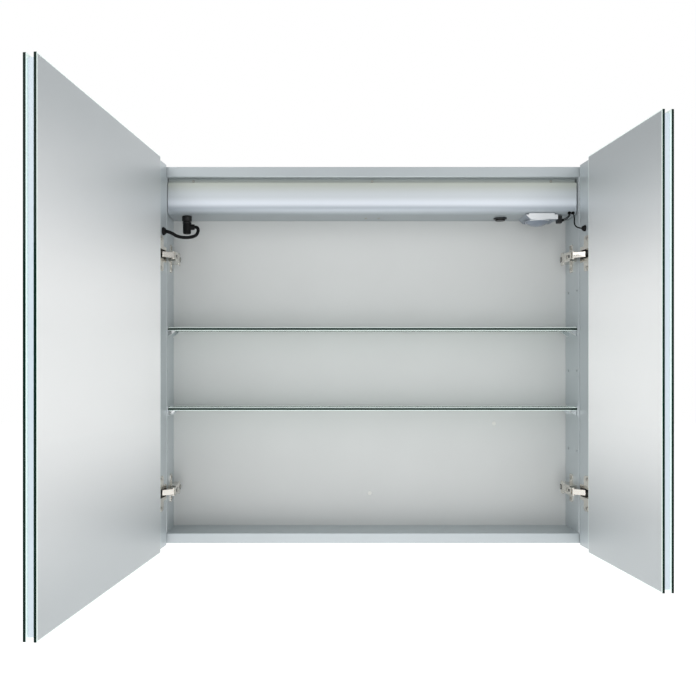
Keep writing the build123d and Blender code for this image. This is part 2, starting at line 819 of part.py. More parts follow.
with BuildPart() as shelf_clips:
    for row in shelf_rows:
        for side in (-1, 1):
            for d in (hole_front, hole_back):
                y = front_y + d
                wall = side * half_in
                with BuildSketch(wall_plane(y + clip_w / 2)):
                    x0 = wall - side * chousing_lip
                    x1 = wall - side * clip_len
                    x2 = wall - side * (clip_lip + shelf_clear)
                    z = rows[row]
                    rect(min(wall, x0), max(wall, x0), z - clip_drop, z + shelf_t + 2)
                    Polygon((x0, z), (x1, z), (x1, z - clip_foot_t), (x0, z - clip_drop), align=None)
                    rect(min(x0, x2), max(x0, x2), z + shelf_t + 0.1, z + shelf_t + 2)
                extrude(amount=clip_w)
                with BuildSketch(Plane(origin=(wall, y, z), x_dir=(0, 1, 0), z_dir=(side, 0, 0))):
                    Circle(hole_r - clip_fit)
                extrude(amount=pin_depth)
save(shelf_clips, "shelf_clips")

# ---------------------------------------------------------------------------
# Hinges: mounting plates, arms and links on the body
# ---------------------------------------------------------------------------
plate_w = 14.0
rib_half = 6.9
rib_in = arm_in + 4.0
block_v0 = -54.0
block_v1 = -12.0
arm_screw_v = -50.0
arm_top = nose_in + nose_r
wide_half = arm_w / 2
nose_half = arm_nose_w / 2
tail_half = 12.0
link_eye = pin_r + pin_fit


def wall_face(side, level, u, v=0.0):
    """Upright plane parallel to a side: x forwards from v, z into the cabinet."""
    return Plane(origin=(side * (half_w - u), front_y - v, level), x_dir=(0, -1, 0), z_dir=(-side, 0, 0))


with BuildPart() as hinge_screws:
    for side in (-1, 1):
        for level in hinge_levels:
            for dz in (-plate_screw_pitch / 2, plate_screw_pitch / 2):
                add(screw(wall_face(side, level + dz, frame_t + plate_wing_t, -plate_line), 12))
            add(screw(wall_face(side, level, arm_top, arm_screw_v), 10))
save(hinge_screws, "hinge_screws")

for side, tag in ((-1, "left"), (1, "right")):
    with BuildPart() as plates:
        for level in hinge_levels:
            with BuildSketch(wall_face(side, level, frame_t)):
                round_rect(
                    -plate_line - plate_w / 2,
                    -plate_line + plate_w / 2,
                    -plate_wing_h / 2,
                    plate_wing_h / 2,
                    3,
                )
                with Locations((-plate_line, -plate_screw_pitch / 2), (-plate_line, plate_screw_pitch / 2)):
                    Circle(screw_r + screw_fit, mode=Mode.SUBTRACT)
            extrude(amount=plate_wing_t)
            with BuildSketch(wall_face(side, level, frame_t)):
                rect(block_v0, block_v1, -wide_half, wide_half)
            extrude(amount=arm_in - frame_t)
            with BuildSketch(wall_face(side, level, arm_in)):
                rect(block_v0, block_v1, -rib_half, rib_half)
            extrude(amount=rib_in - arm_in)
            with BuildSketch(wall_face(side, level, rib_in)):
                with Locations((arm_screw_v, 0)):
                    Circle(screw_r + screw_fit)
            extrude(amount=-4.5, mode=Mode.SUBTRACT)
    save(plates, f"{tag}_hinge_plates")

    for word, level in zip(("upper", "lower"), hinge_levels):
        with BuildPart() as arm:
            with BuildSketch(body_section(side, level - wide_half, level + wide_half)):
                Polygon(
                    (arm_in, -arm_back),
                    (arm_top, -arm_back + 8),
                    (arm_top, -1),
                    (arm_in, -7),
                    align=None,
                )
            extrude(amount=arm_w)
            with BuildSketch(body_section(side, level - wide_half + arm_t, level + wide_half - arm_t)):
                rect(arm_in - 1, arm_top - arm_t, -arm_back - 1, 0)
            extrude(amount=arm_w - 2 * arm_t, mode=Mode.SUBTRACT)
            with BuildSketch(body_section(side, level - nose_half, level + nose_half)):
                Polygon(
                    (arm_in, -8),
                    (arm_top, -8),
                    (arm_top, nose_out),
                    (nose_in - nose_r, nose_out),
                    align=None,
                )
                with Locations((nose_in, nose_out)):
                    Circle(nose_r)
            extrude(amount=arm_nose_w)
            with BuildSketch(body_section(side, level - nose_half + arm_t, level + nose_half - arm_t)):
                rect(arm_in - 1, arm_top - arm_t, -9, 5)
                rect(arm_in - 1, arm_top + 1, 5, nose_out + nose_r + 1)
            extrude(amount=arm_nose_w - 2 * arm_t, mode=Mode.SUBTRACT)
            with BuildSketch(body_section(side, level - nose_half, level + nose_half)):
                with Locations((nose_in, nose_out)):
                    Circle(pin_r)
            extrude(amount=arm_nose_w)
            with BuildSketch(wall_face(side, level, arm_top)):
                round_rect(-arm_back + 8, -arm_back + 24, -tail_half, tail_half, 4)
            extrude(amount=-arm_t)
            with BuildSketch(wall_face(side, level, arm_top)):
                with Locations((arm_screw_v, 0)):
                    Circle(screw_r + screw_fit)
            extrude(amount=-arm_t, mode=Mode.SUBTRACT)
        save(arm, f"{tag}_{word}_hinge_arm")

    turn = radians(link_shut + link_ratio * (left_open if side < 0 else right_open))
    with BuildPart() as links:
        for level in hinge_levels:
            base = body_section(side, level - link_w / 2, level + link_w / 2)
            pin = base.origin + base.x_dir * nose_in + base.y_dir * nose_out
            along = base.x_dir * cos(turn) + base.y_dir * sin(turn)
            with BuildSketch(Plane(origin=pin, x_dir=along, z_dir=base.z_dir)):
                Circle(link_half)
                rect(0, link_len, -link_half, link_half)
                with Locations((link_len, 0)):
                    Circle(link_half)
                Circle(link_eye, mode=Mode.SUBTRACT)
            extrude(amount=link_w)
    save(links, f"{tag}_hinge_links")

# ---------------------------------------------------------------------------
# Doors
# ---------------------------------------------------------------------------
frame_foot = door_foot + mirror_over
frame_top = frame_foot + frame_h
wing_in = 19.0
wing_out = strip_w - 0.5
strip_pcb_t = 1.0
chip_t = 0.9
chip_count = 20
chip_pitch = 33.0
grommet_stem = 6.0
mid_t = door_frame_t / 2

for side, tag, width in ((-1, "left", left_w), (1, "right", right_w)):
    frame_w = width - hinge_over - mirror_over
    edge = frame_w - diffuser_t
    strip = door_face(side, 0)
    into_cabinet = Axis(strip.origin, strip.z_dir)
    with BuildPart() as door_frame:
        with BuildSketch(door_section(side, frame_foot, frame_top)):
            rect(0, edge, 0, door_frame_t)
        extrude(amount=frame_h)
        with BuildSketch(door_face(side, body_mid)):
            rect(hinge_stile_w, edge - stile_w, stile_w - frame_h / 2, frame_h / 2 - stile_w)
        extrude(amount=-door_frame_t, mode=Mode.SUBTRACT)
        with BuildSketch(door_section(side, frame_foot + 8, frame_top - 8)):
            rect(edge - led_slot_depth, edge, mid_t - led_slot_w / 2, mid_t + led_slot_w / 2)
        extrude(amount=frame_h - 16, mode=Mode.SUBTRACT)
        for level in hinge_levels:
            with BuildSketch(door_face(side, level)):
                round_rect(
                    pot_in - pot_clear,
                    pot_in + pot_len + pot_clear,
                    -pot_h / 2 - pot_clear,
                    pot_h / 2 + pot_clear,
                    8 + pot_clear,
                )
            extrude(amount=-pot_depth - 0.1, mode=Mode.SUBTRACT)
            with BuildSketch(door_face(side, level)):
                with Locations((cup_screw_in, -cup_screw_pitch / 2), (cup_screw_in, cup_screw_pitch / 2)):
                    Circle(screw_r + screw_fit)
            extrude(amount=-8, mode=Mode.SUBTRACT)
        with BuildSketch(grommet_plane(side)):
            Circle(grommet_neck[side] + screw_fit)
        extrude(amount=-grommet_stem, mode=Mode.SUBTRACT)
    save(door_frame, f"{tag}_door_frame")

    with BuildPart() as outer_mirror:
        with BuildSketch(door_section(side, door_foot, door_foot + door_h)):
            rect(-hinge_over, frame_w + mirror_over, door_frame_t, door_frame_t + mirror_t)
        extrude(amount=door_h)
        chamfer(outer_mirror.faces().sort_by(into_cabinet)[0].edges(), mirror_bevel)
    save(outer_mirror, f"{tag}_outer_mirror")

    with BuildPart() as inner_mirror:
        with BuildSketch(door_section(side, door_foot, door_foot + door_h)):
            rect(strip_w, frame_w + mirror_over, -mirror_t, 0)
        extrude(amount=door_h)
        chamfer(inner_mirror.faces().sort_by(into_cabinet)[-1].edges(), mirror_bevel)
    save(inner_mirror, f"{tag}_inner_mirror")

    with BuildPart() as edge_diffuser:
        with BuildSketch(door_section(side, frame_foot + diffuser_inset, frame_top - diffuser_inset)):
            rect(edge, frame_w, diffuser_inset, door_frame_t - diffuser_inset)
        extrude(amount=frame_h - 2 * diffuser_inset)
    save(edge_diffuser, f"{tag}_edge_diffuser")

    with BuildPart() as led_strip:
        half = led_slot_w / 2 - led_clear
        with BuildSketch(door_section(side, frame_foot + 10, frame_top - 10)):
            rect(edge - led_slot_depth, edge - led_slot_depth + strip_pcb_t, mid_t - half, mid_t + half)
        extrude(amount=frame_h - 20)
        for i in range(chip_count):
            foot = body_mid + (i - (chip_count - 1) / 2) * chip_pitch - 1.75
            with BuildSketch(door_section(side, foot, foot + 3.5)):
                s0 = edge - led_slot_depth + strip_pcb_t
                rect(s0, s0 + chip_t, mid_t - 1.4, mid_t + 1.4)
            extrude(amount=3.5)
    save(led_strip, f"{tag}_led_strip")

    for word, level in zip(("upper", "lower"), hinge_levels):
        with BuildPart() as pot:
            with BuildSketch(door_face(side, level)):
                round_rect(pot_in, pot_in + pot_len, -pot_h / 2, pot_h / 2, 8)
            extrude(amount=-pot_depth)
            with BuildSketch(door_face(side, level)):
                round_rect(
                    pot_in + pot_wall,
                    pot_in + pot_len - pot_wall,
                    -pot_h / 2 + pot_wall,
                    pot_h / 2 - pot_wall,
                    8 - pot_wall,
                )
            extrude(amount=-pot_depth + pot_wall, mode=Mode.SUBTRACT)
            with BuildSketch(door_face(side, level)):
                round_rect(pot_in - 1, wing_out, -pot_h / 2 - 1, pot_h / 2 + 1, 3)
                round_rect(wing_in, wing_out, -wing_h / 2, wing_h / 2, 6)
                rect(
                    pot_in + pot_wall,
                    pot_in + pot_len - pot_wall,
                    -pot_mouth_h / 2,
                    pot_mouth_h / 2,
                    Mode.SUBTRACT,
                )
                with Locations((cup_screw_in, -cup_screw_pitch / 2), (cup_screw_in, cup_screw_pitch / 2)):
                    Circle(screw_r + screw_fit, mode=Mode.SUBTRACT)
            extrude(amount=wing_t)
        save(pot, f"{tag}_{word}_hinge_cup")

    with BuildPart() as cup_screws:
        for level in hinge_levels:
            for dz in (-cup_screw_pitch / 2, cup_screw_pitch / 2):
                seat = door_face(side, level + dz)
                spot = seat.origin + seat.x_dir * cup_screw_in + seat.z_dir * wing_t
                add(screw(Plane(origin=spot, x_dir=seat.x_dir, z_dir=seat.z_dir), 8))
    save(cup_screws, f"{tag}_cup_screws")

    with BuildPart() as grommet:
        with BuildSketch(grommet_plane(side)):
            Circle(grommet_neck[side])
        extrude(amount=-grommet_stem + 0.5)
        with BuildSketch(grommet_plane(side)):
            Circle(grommet_r[side])
        extrude(amount=1.6)
        with BuildSketch(grommet_plane(side, 1.6)):
            Circle(grommet_r[side])
        extrude(amount=grommet_t - 1.6, taper=35 if side < 0 else 25)
    save(grommet, f"{tag}_lead_grommet")
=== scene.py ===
"""Looks of a mirrored bathroom cabinet, laid out as a Blender add-on and run as a script."""

import json
import math

import bmesh
import bpy
from mathutils import Matrix, Vector

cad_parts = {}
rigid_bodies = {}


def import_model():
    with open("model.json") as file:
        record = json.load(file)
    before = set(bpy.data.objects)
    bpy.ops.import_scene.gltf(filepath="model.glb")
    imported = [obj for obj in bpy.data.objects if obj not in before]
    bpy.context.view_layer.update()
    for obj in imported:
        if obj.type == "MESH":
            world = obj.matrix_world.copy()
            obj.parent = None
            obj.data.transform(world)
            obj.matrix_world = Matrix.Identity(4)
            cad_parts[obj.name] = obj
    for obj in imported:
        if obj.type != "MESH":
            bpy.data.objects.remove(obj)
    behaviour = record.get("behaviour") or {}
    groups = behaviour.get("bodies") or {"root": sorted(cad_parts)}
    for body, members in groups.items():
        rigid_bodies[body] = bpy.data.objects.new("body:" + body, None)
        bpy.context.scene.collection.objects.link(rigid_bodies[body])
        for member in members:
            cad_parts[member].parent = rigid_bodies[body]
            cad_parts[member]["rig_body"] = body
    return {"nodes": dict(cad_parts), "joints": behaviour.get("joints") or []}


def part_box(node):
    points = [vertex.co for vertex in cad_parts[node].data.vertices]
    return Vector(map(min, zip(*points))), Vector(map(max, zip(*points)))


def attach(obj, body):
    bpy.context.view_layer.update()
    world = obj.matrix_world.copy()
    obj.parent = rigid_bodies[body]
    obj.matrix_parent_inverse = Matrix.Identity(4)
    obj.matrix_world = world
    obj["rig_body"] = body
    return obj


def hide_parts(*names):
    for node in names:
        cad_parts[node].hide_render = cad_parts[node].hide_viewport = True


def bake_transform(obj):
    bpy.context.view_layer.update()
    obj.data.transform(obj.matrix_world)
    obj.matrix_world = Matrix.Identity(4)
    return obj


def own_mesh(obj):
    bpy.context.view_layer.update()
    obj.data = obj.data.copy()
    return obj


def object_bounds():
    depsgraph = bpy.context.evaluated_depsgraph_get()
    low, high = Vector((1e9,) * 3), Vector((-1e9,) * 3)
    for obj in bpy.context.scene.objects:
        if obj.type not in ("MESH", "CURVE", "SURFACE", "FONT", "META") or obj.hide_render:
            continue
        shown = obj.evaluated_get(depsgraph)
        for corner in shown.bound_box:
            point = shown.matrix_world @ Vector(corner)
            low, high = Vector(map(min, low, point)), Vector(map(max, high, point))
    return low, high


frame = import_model()
CAD_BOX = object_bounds()

bl_info = {
    "name": "Mirror Cabinet",
    "version": (1, 0, 0),
    "blender": (4, 5, 0),
    "location": "3D View > Sidebar > Cabinet",
    "description": "Builds the finished look of a mirrored bathroom cabinet",
    "category": "Add Mesh",
}

MM = 0.001
NODES = frame["nodes"]
JOINTS = {j["name"]: j for j in frame["joints"]}
SIDES = {"left": -1, "right": 1}


# ---------------------------------------------------------------------------
# Sizes taken from the frame
# ---------------------------------------------------------------------------
def node_box(name):
    """Lowest and highest corner of a CAD node, in millimetres."""
    low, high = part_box(name)
    return low / MM, high / MM


BODY_LOW = node_box("left_side_panel")[0]
BODY_HIGH = node_box("right_side_panel")[1]
BODY_MID = (BODY_LOW.z + BODY_HIGH.z) / 2
HALF_WIDTH = BODY_HIGH.x
FRONT = BODY_LOW.y
HINGE_LEVELS = {
    word: sum(node_box(f"left_{word}_hinge_arm")[i].z for i in (0, 1)) / 2
    for word in ("upper", "lower")
}
OPEN_ANGLE = {
    side: math.radians(-JOINTS[f"{side}_door_swing"]["range_deg"][0]) for side in SIDES
}

# Door section, in millimetres, from the hinge edge of the metal frame and from the bare strip
STRIP_OUT = 6.0
STRIP_WIDTH = 44.0
FRAME_DEPTH = 10.0
GLASS = 4.0
HINGE_OVER = 2.0
FRAME_IN = -3.0
WING = 1.2
MIRROR_SETBACK = 0.15
ARRIS = 0.35

# Hinges, in millimetres: inwards from the body's outer face, and forwards of its front
PLATE_FACE = 20.7
PLATE_MID = -37.0
PLATE_HOLE = 20.0
CAM_OFFSET = 13.0
WEB_BACK = 34.2
RIB_SEAT = 34.6
WEB_FACE = 34.8
SLOT_FACE = 35.1
ADJUSTER = -16.0
TAIL_SCREW = -50.0
NOSE_PIN = (32, 10)
CHEEK = 6.5
RIB_OFFSET = 4.6
RIB_HALF = 0.9
CUP_SCREW = (33.0, 26.0)
DAMPER_SIDE = 9.8
DAMPER_HALF = 9.5

# Screws of the housing, in millimetres
BAND_SCREWS = (-330, 0, 330)
BAND_IN = 8.0
BAND_DROP = 4.4
UNDER_SCREWS = (-9.5, 14.6)
UNDER_IN = 43
SMALL_SCREW = 0.78

# Turned details, as (radius, height) in millimetres
RIVET_HEAD = [(0, 0.7), (1.5, 0.65), (2.1, 0.35), (2.2, -0.2), (0, -0.2)]
ADJUSTER_HEAD = [(0, 0.5), (1.2, 0.5), (1.3, 1.0), (3.4, 1.0), (3.8, 0.6), (3.8, -0.6), (0, -0.6)]
# Painted shade: dark well round the tail screw
SCREW_WELL_PAINTED_SHADE = [(1.9, 0.25), (5.2, 0.25), (5.4, -0.5), (1.9, -0.5)]
CAM_HEAD = [(0, 0.5), (1.0, 0.5), (2.2, 0.45), (2.4, 0.1), (2.4, -0.2), (0, -0.2)]
PLUG_NUT = [(5, -0.2), (8.4, -0.2), (8.4, -9.4), (7.4, -10.2), (5, -10.2)]
PLUG_RING = [(5, -11.4), (8.0, -11.4), (8.3, -12.0), (8.3, -13.2), (7.9, -13.8), (5, -13.8)]
LEAD_BOOT = [
    (0, -0.5),
    (3.4, -0.5),
    (3.4, 0.8),
    (2.6, 1.2),
    (2.6, 2.0),
    (3.0, 2.3),
    (3.0, 3.2),
    (2.2, 4.4),
    (0, 4.4),
]
PAN_HEAD = [
    (0, -5),
    (1.6, -5),
    (1.75, -4.6),
    (1.75, 0),
    (3.2, 0),
    (3.3, 0.15),
    (3.25, 0.7),
    (2.7, 1.3),
    (1.6, 1.6),
    (0, 1.65),
]
NUT_RIBS = 20
COIL_WIRE = 0.9
COIL_TURNS = 5
COIL_STEPS = 16
BOOT_LEVEL = 6.0
LEAD_THICK = {"left": 6.0, "right": 2.4}
SENSOR_WIRE = 1.6

# Angles past which an edge is rounded, broken or shaded as sharp
ROUNDED = math.radians(25)
BROKEN = math.radians(30)
SHADED_SHARP = math.radians(32)
EDGE_SEGMENTS = 2
MERGE = 1e-6
QUARTER_ABOUT_Y = Matrix.Rotation(math.pi / 2, 4, "Y")

# Camera and lights, in metres
LENS = 40.14
SENSOR = 36
SHIFT = (0.0589, 0.0312)
EYE = (-0.1203, -1.4184, -0.0268)
AIM = (0, 0, -0.3)
LIGHTS = (
    ("key", (-1.5, -2.2, 1.0), 18, 1.8),
    ("fill", (1.5, -2.2, 0.4), 8, 1.6),
    ("low", (0.0, -1.9, -1.0), 4, 1.4),
    ("rear", (0.3, 2.2, 1.2), 16, 2.0),
)
WORLD_LIGHT = 0.42
FLOOR_GLOW = 0.68
FLOOR_HALF = 12


# ---------------------------------------------------------------------------
# Settings that a user would change
# ---------------------------------------------------------------------------
def size(name, text, default, low=0.0):
    return bpy.props.FloatProperty(
        name=name, description=text, default=default, min=low, unit="LENGTH"
    )


def tint(name, text, default):
    return bpy.props.StringProperty(
        name=name, description=text + ", as an sRGB hex value", default=default
    )


class CabinetSizes(bpy.types.PropertyGroup):
    edge_round: size("Edge rounding", "Radius broken on metal edges", 0.35 * MM)
    glass_bevel: size("Glass bevel", "Width of the ground bevel on the mirrors", 1.6 * MM)
    shelf_arris: size("Shelf arris", "Ground arris along the shelf edges", 1.1 * MM)
    floor_drop: size("Floor drop", "Floor below the lowest point of the cabinet", 0.62)


class CabinetColours(bpy.types.PropertyGroup):
    aluminium: tint("Aluminium", "Anodised profiles", "BEC5C8")
    back: tint("Back", "Coated back panel", "D0D2D1")
    # Painted reflection: the mirrors' colour is painted bright at their middle height and darker at
    # their upper and lower ends
    silver_painted_highlight: tint("Silver", "Middle of the mirrors", "F4F4F4")
    silver_painted_shade: tint("Silver, dark", "Upper and lower ends of the mirrors", "BCC1C3")
    glass_edge: tint("Glass edge", "Cut edges of the glass", "04231B")
    glow: tint("Glow", "Lit channel along the free edges", "BCC5CE")
    nickel: tint("Nickel", "Plated hinges", "E6E2DA")
    black: tint("Black", "Leads and plugs", "050606")


# ---------------------------------------------------------------------------
# Materials
# ---------------------------------------------------------------------------
def linear(code):
    """Linear colour of an sRGB hex value."""
    parts = [int(code[i : i + 2], 16) / 255 for i in (0, 2, 4)]
    return tuple(
        c / 12.92 if c <= 0.04045 else ((c + 0.055) / 1.055) ** 2.4 for c in parts
    ) + (1.0,)


def add_node(tree, kind, inputs=None, **settings):
    """Adds a node. Inputs are plain values, or output sockets to link from."""
    made = tree.nodes.new(kind)
    for key, value in settings.items():
        setattr(made, key, value)
    for key, value in (inputs or {}).items():
        if isinstance(value, bpy.types.NodeSocket):
            tree.links.new(value, made.inputs[key])
        else:
            made.inputs[key].default_value = value
    return made


def new_material(name):
    """Empty node material with its shader and output."""
    made = bpy.data.materials.new(name)
    made.use_nodes = True
    tree = made.node_tree
    tree.nodes.clear()
    shader = add_node(tree, "ShaderNodeBsdfPrincipled")
    add_node(tree, "ShaderNodeOutputMaterial", {"Surface": shader.outputs["BSDF"]})
    where = add_node(tree, "ShaderNodeTexCoord").outputs["Object"]
    return made, tree, shader, where


def ramp(tree, factor, stops, mode="LINEAR"):
    """Colour ramp through (position, colour) stops."""
    made = add_node(tree, "ShaderNodeValToRGB", {"Fac": factor})
    made.color_ramp.interpolation = mode
    points = made.color_ramp.elements
    while len(points) < len(stops):
        points.new(0.5)
    for point, (place, colour) in zip(points, stops):
        point.position = place
        point.color = colour
    return made.outputs["Color"]


def mottle(tree, where, scale, stretch=(1, 1, 1), detail=4.0):
    """Noise at a number of features per metre, stretched along the axes."""
    mapped = add_node(tree, "ShaderNodeMapping", {"Vector": where, "Scale": stretch})
    noise = add_node(
        tree, "ShaderNodeTexNoise", {"Vector": mapped.outputs[0], "Scale": scale, "Detail": detail}
    )
    return noise.outputs["Fac"]


def two_tone(tree, factor, code, spread):
    """A colour and the same a little darker and lighter, mixed by a factor."""
    base = linear(code)
    low = tuple(c * (1 - spread) for c in base[:3]) + (1,)
    high = tuple(min(1, c * (1 + spread)) for c in base[:3]) + (1,)
    return ramp(tree, factor, [(0.3, low), (0.7, high)])


def roughness_from(tree, factor, low, high):
    """Roughness between two values, by a factor."""
    mapped = add_node(tree, "ShaderNodeMapRange", {"Value": factor, "To Min": low, "To Max": high})
    return mapped.outputs["Result"]


def bump(tree, shader, height, depth):
    """Raises a height field of a depth in metres."""
    made = add_node(tree, "ShaderNodeBump", {"Height": height, "Strength": 1.0, "Distance": depth})
    tree.links.new(made.outputs["Normal"], shader.inputs["Normal"])


def surface(
    name, code, metallic, rough, grain, stretch=(1, 1, 1), spread=0.04, depth=2e-5, **sockets
):
    """A finish with its own colour variation, roughness variation and fine relief."""
    made, tree, shader, where = new_material(name)
    shader.inputs["Metallic"].default_value = metallic
    for key, value in sockets.items():
        shader.inputs[key.replace("_", " ")].default_value = value
    fine = mottle(tree, where, grain, stretch)
    broad = mottle(tree, where, 9.0, detail=2.0)
    tree.links.new(two_tone(tree, broad, code, spread), shader.inputs["Base Color"])
    tree.links.new(roughness_from(tree, fine, rough[0], rough[1]), shader.inputs["Roughness"])
    bump(tree, shader, fine, depth)
    return made


def per_metre(spacing_mm):
    """Noise scale whose features repeat at a spacing in millimetres."""
    return 1000.0 / spacing_mm


MATERIALS = {}


def make_materials(colours):
    """All the finishes, named for what they are and how they were made."""
    lines = per_metre(2.0)
    # Anodised aluminium, drawn along the profile: satin, with faint lines that run up or along
    MATERIALS["aluminium"] = surface(
        "anodised_aluminium_drawn",
        colours.aluminium,
        0.4,
        (0.34, 0.44),
        lines,
        (6, 6, 0.15),
        0.02,
        1e-5,
    )
    MATERIALS["aluminium_across"] = surface(
        "anodised_aluminium_drawn_across",
        colours.aluminium,
        0.4,
        (0.34, 0.44),
        lines,
        (0.15, 6, 6),
        0.02,
        1e-5,
    )
    # Powder-coated steel sheet: matt, with the orange peel of the coat, 1.5 mm across
    MATERIALS["back"] = surface(
        "powder_coated_back_sheet",
        colours.back,
        0.0,
        (0.42, 0.52),
        per_metre(1.5),
        spread=0.01,
        depth=2.5e-5,
    )
    # Zinc-plated steel, rolled: cold grey with a cloudy spangle
    MATERIALS["zinc"] = surface(
        "zinc_plated_steel", "A9ADAF", 1.0, (0.3, 0.5), per_metre(6), spread=0.12
    )
    # Nickel-plated pressed steel: warm, bright, with polish haze
    MATERIALS["nickel"] = surface(
        "nickel_plated_steel",
        colours.nickel,
        1.0,
        (0.16, 0.3),
        per_metre(3),
        spread=0.06,
        depth=4e-6,
    )
    MATERIALS["screw"] = surface(
        "zinc_plated_screw", "B4B2AC", 1.0, (0.22, 0.36), per_metre(1), depth=4e-6
    )
    # Chromed die casting: nearly a mirror
    MATERIALS["chrome"] = surface(
        "chromed_zinc_casting", "F0F2F3", 1.0, (0.1, 0.2), per_metre(4), spread=0.02, depth=2e-6
    )
    # Moulded rubber and cable sheath: black and dull, with a fine matt grain
    MATERIALS["rubber"] = surface(
        "moulded_black_rubber",
        colours.black,
        0.0,
        (0.42, 0.6),
        per_metre(0.5),
        spread=0.15,
        depth=1.5e-5,
        Specular_IOR_Level=0.2,
    )
    MATERIALS["dark_plastic"] = surface(
        "moulded_dark_plastic", "1E2224", 0.0, (0.3, 0.42), per_metre(0.6), spread=0.06, depth=1e-5
    )
    MATERIALS["black_plastic"] = surface(
        "moulded_black_plastic", "070808", 0.0, (0.25, 0.4), per_metre(0.6), spread=0.06, depth=1e-5
    )
    MATERIALS["white_plastic"] = surface(
        "moulded_white_plastic", "E2E2DE", 0.0, (0.38, 0.5), per_metre(0.8), spread=0.02, depth=1e-5
    )
    MATERIALS["sensor_shell"] = surface(
        "lacquered_sensor_shell",
        "E4E7E9",
        0.15,
        (0.16, 0.24),
        per_metre(5),
        spread=0.02,
        depth=3e-6,
        Coat_Weight=0.4,
    )
    # Painted shade: the sensor's underside and ends get this grey, a shaded copy of its shell
    # colour
    MATERIALS["sensor_side"] = surface(
        "moulded_grey_plastic", "8A929C", 0.0, (0.3, 0.4), per_metre(0.8), depth=8e-6
    )
    # Tinted polycarbonate, moulded: smooth and shiny, lets some light in
    MATERIALS["lens"] = surface(
        "tinted_polycarbonate_lens",
        "8D97A6",
        0.0,
        (0.08, 0.14),
        per_metre(4),
        spread=0.05,
        depth=3e-6,
        Transmission_Weight=0.25,
        IOR=1.58,
        Coat_Weight=0.5,
    )
    # Silicone-glass circuit board with a white mask
    MATERIALS["board"] = surface(
        "white_masked_board", "E6E6DC", 0.0, (0.4, 0.55), per_metre(2), depth=5e-6
    )
    MATERIALS["glass_edge"] = glass_edge(colours)
    MATERIALS["glass"] = clear_glass()
    MATERIALS["silver_painted_highlight"] = silvered_glass("silvered_glass", colours)
    # Ground glass bevel: pale for real, and given a painted highlight: it gives off a little light
    # so that the arrises show bright
    MATERIALS["ground"] = surface(
        "ground_glass_bevel", "ECFBF5", 0.0, (0.2, 0.3), per_metre(3), spread=0.02, depth=2e-6
    )
    glow_of(MATERIALS["ground"], "F4FBF8", 0.18)
    MATERIALS["glow"] = opal_diffuser(colours)
    MATERIALS["lacquer_painted_reflection"] = housing_lacquer_painted_reflection()


def glass_edge(colours):
    """Cut and polished float glass: dark green, with the cutter's faint lines along it."""
    return surface(
        "polished_glass_edge",
        colours.glass_edge,
        0.0,
        (0.05, 0.14),
        per_metre(2),
        (1, 1, 0.1),
        0.25,
        6e-6,
        Specular_IOR_Level=0.12,
    )


def clear_glass():
    """Clear float glass, seen through: faint green, with its reflections kept."""
    made = surface(
        "clear_float_glass",
        "E4F4EE",
        0.0,
        (0.02, 0.05),
        per_metre(20),
        spread=0.02,
        depth=1e-6,
        IOR=1.52,
    )
    shader = shader_of(made)
    shader.inputs["Alpha"].default_value = 0.5
    shader.inputs["Specular IOR Level"].default_value = 0.8
    return made


def silvered_glass(name, colours):
    """Silvered float glass with a painted reflection: its colour is painted brighter at its middle
    height than at its ends, with a painted glow there.
    """
    made, tree, shader, where = new_material(name)
    height = add_node(tree, "ShaderNodeSeparateXYZ", {"Vector": where}).outputs["Z"]
    half = (BODY_HIGH.z - BODY_LOW.z) / 2 * MM
    mapped = add_node(
        tree,
        "ShaderNodeMapRange",
        {"Value": height, "From Min": BODY_MID * MM - half, "From Max": BODY_MID * MM + half},
    )
    # Painted highlight at the middle height, painted shade towards the upper and lower ends
    painted_shade_colour, light = linear(colours.silver_painted_shade), linear(colours.silver_painted_highlight)
    colour = ramp(
        tree,
        mapped.outputs["Result"],
        [(0.0, painted_shade_colour), (0.42, light), (0.58, light), (1.0, painted_shade_colour)],
        "EASE",
    )
    haze = mottle(tree, where, 14.0, detail=2.0)
    tree.links.new(colour, shader.inputs["Base Color"])
    tree.links.new(roughness_from(tree, haze, 0.4, 0.46), shader.inputs["Roughness"])
    shader.inputs["Metallic"].default_value = 0.35
    # Painted glow: the mirrors give off a little light at their middle height
    shader.inputs["Emission Strength"].default_value = 0.16
    painted_glow_stops = [(0.0, (0, 0, 0, 1)), (0.42, light), (0.58, light), (1.0, (0, 0, 0, 1))]
    tree.links.new(
        ramp(tree, mapped.outputs["Result"], painted_glow_stops, "EASE"), shader.inputs["Emission Color"]
    )
    return made


def shader_of(material):
    """Main shader of a finish."""
    return next(n for n in material.node_tree.nodes if n.type == "BSDF_PRINCIPLED")


def glow_of(material, code, strength):
    """Lets a finish give off a little light."""
    shader = shader_of(material)
    shader.inputs["Emission Color"].default_value = linear(code)
    shader.inputs["Emission Strength"].default_value = strength


def opal_diffuser(colours):
    """Extruded opal acrylic with the light strip behind it: even, bluish white."""
    made = surface(
        "opal_acrylic_diffuser",
        colours.glow,
        0.0,
        (0.3, 0.4),
        per_metre(1),
        spread=0.01,
        depth=3e-6,
    )
    glow_of(made, colours.glow, 0.25)
    return made


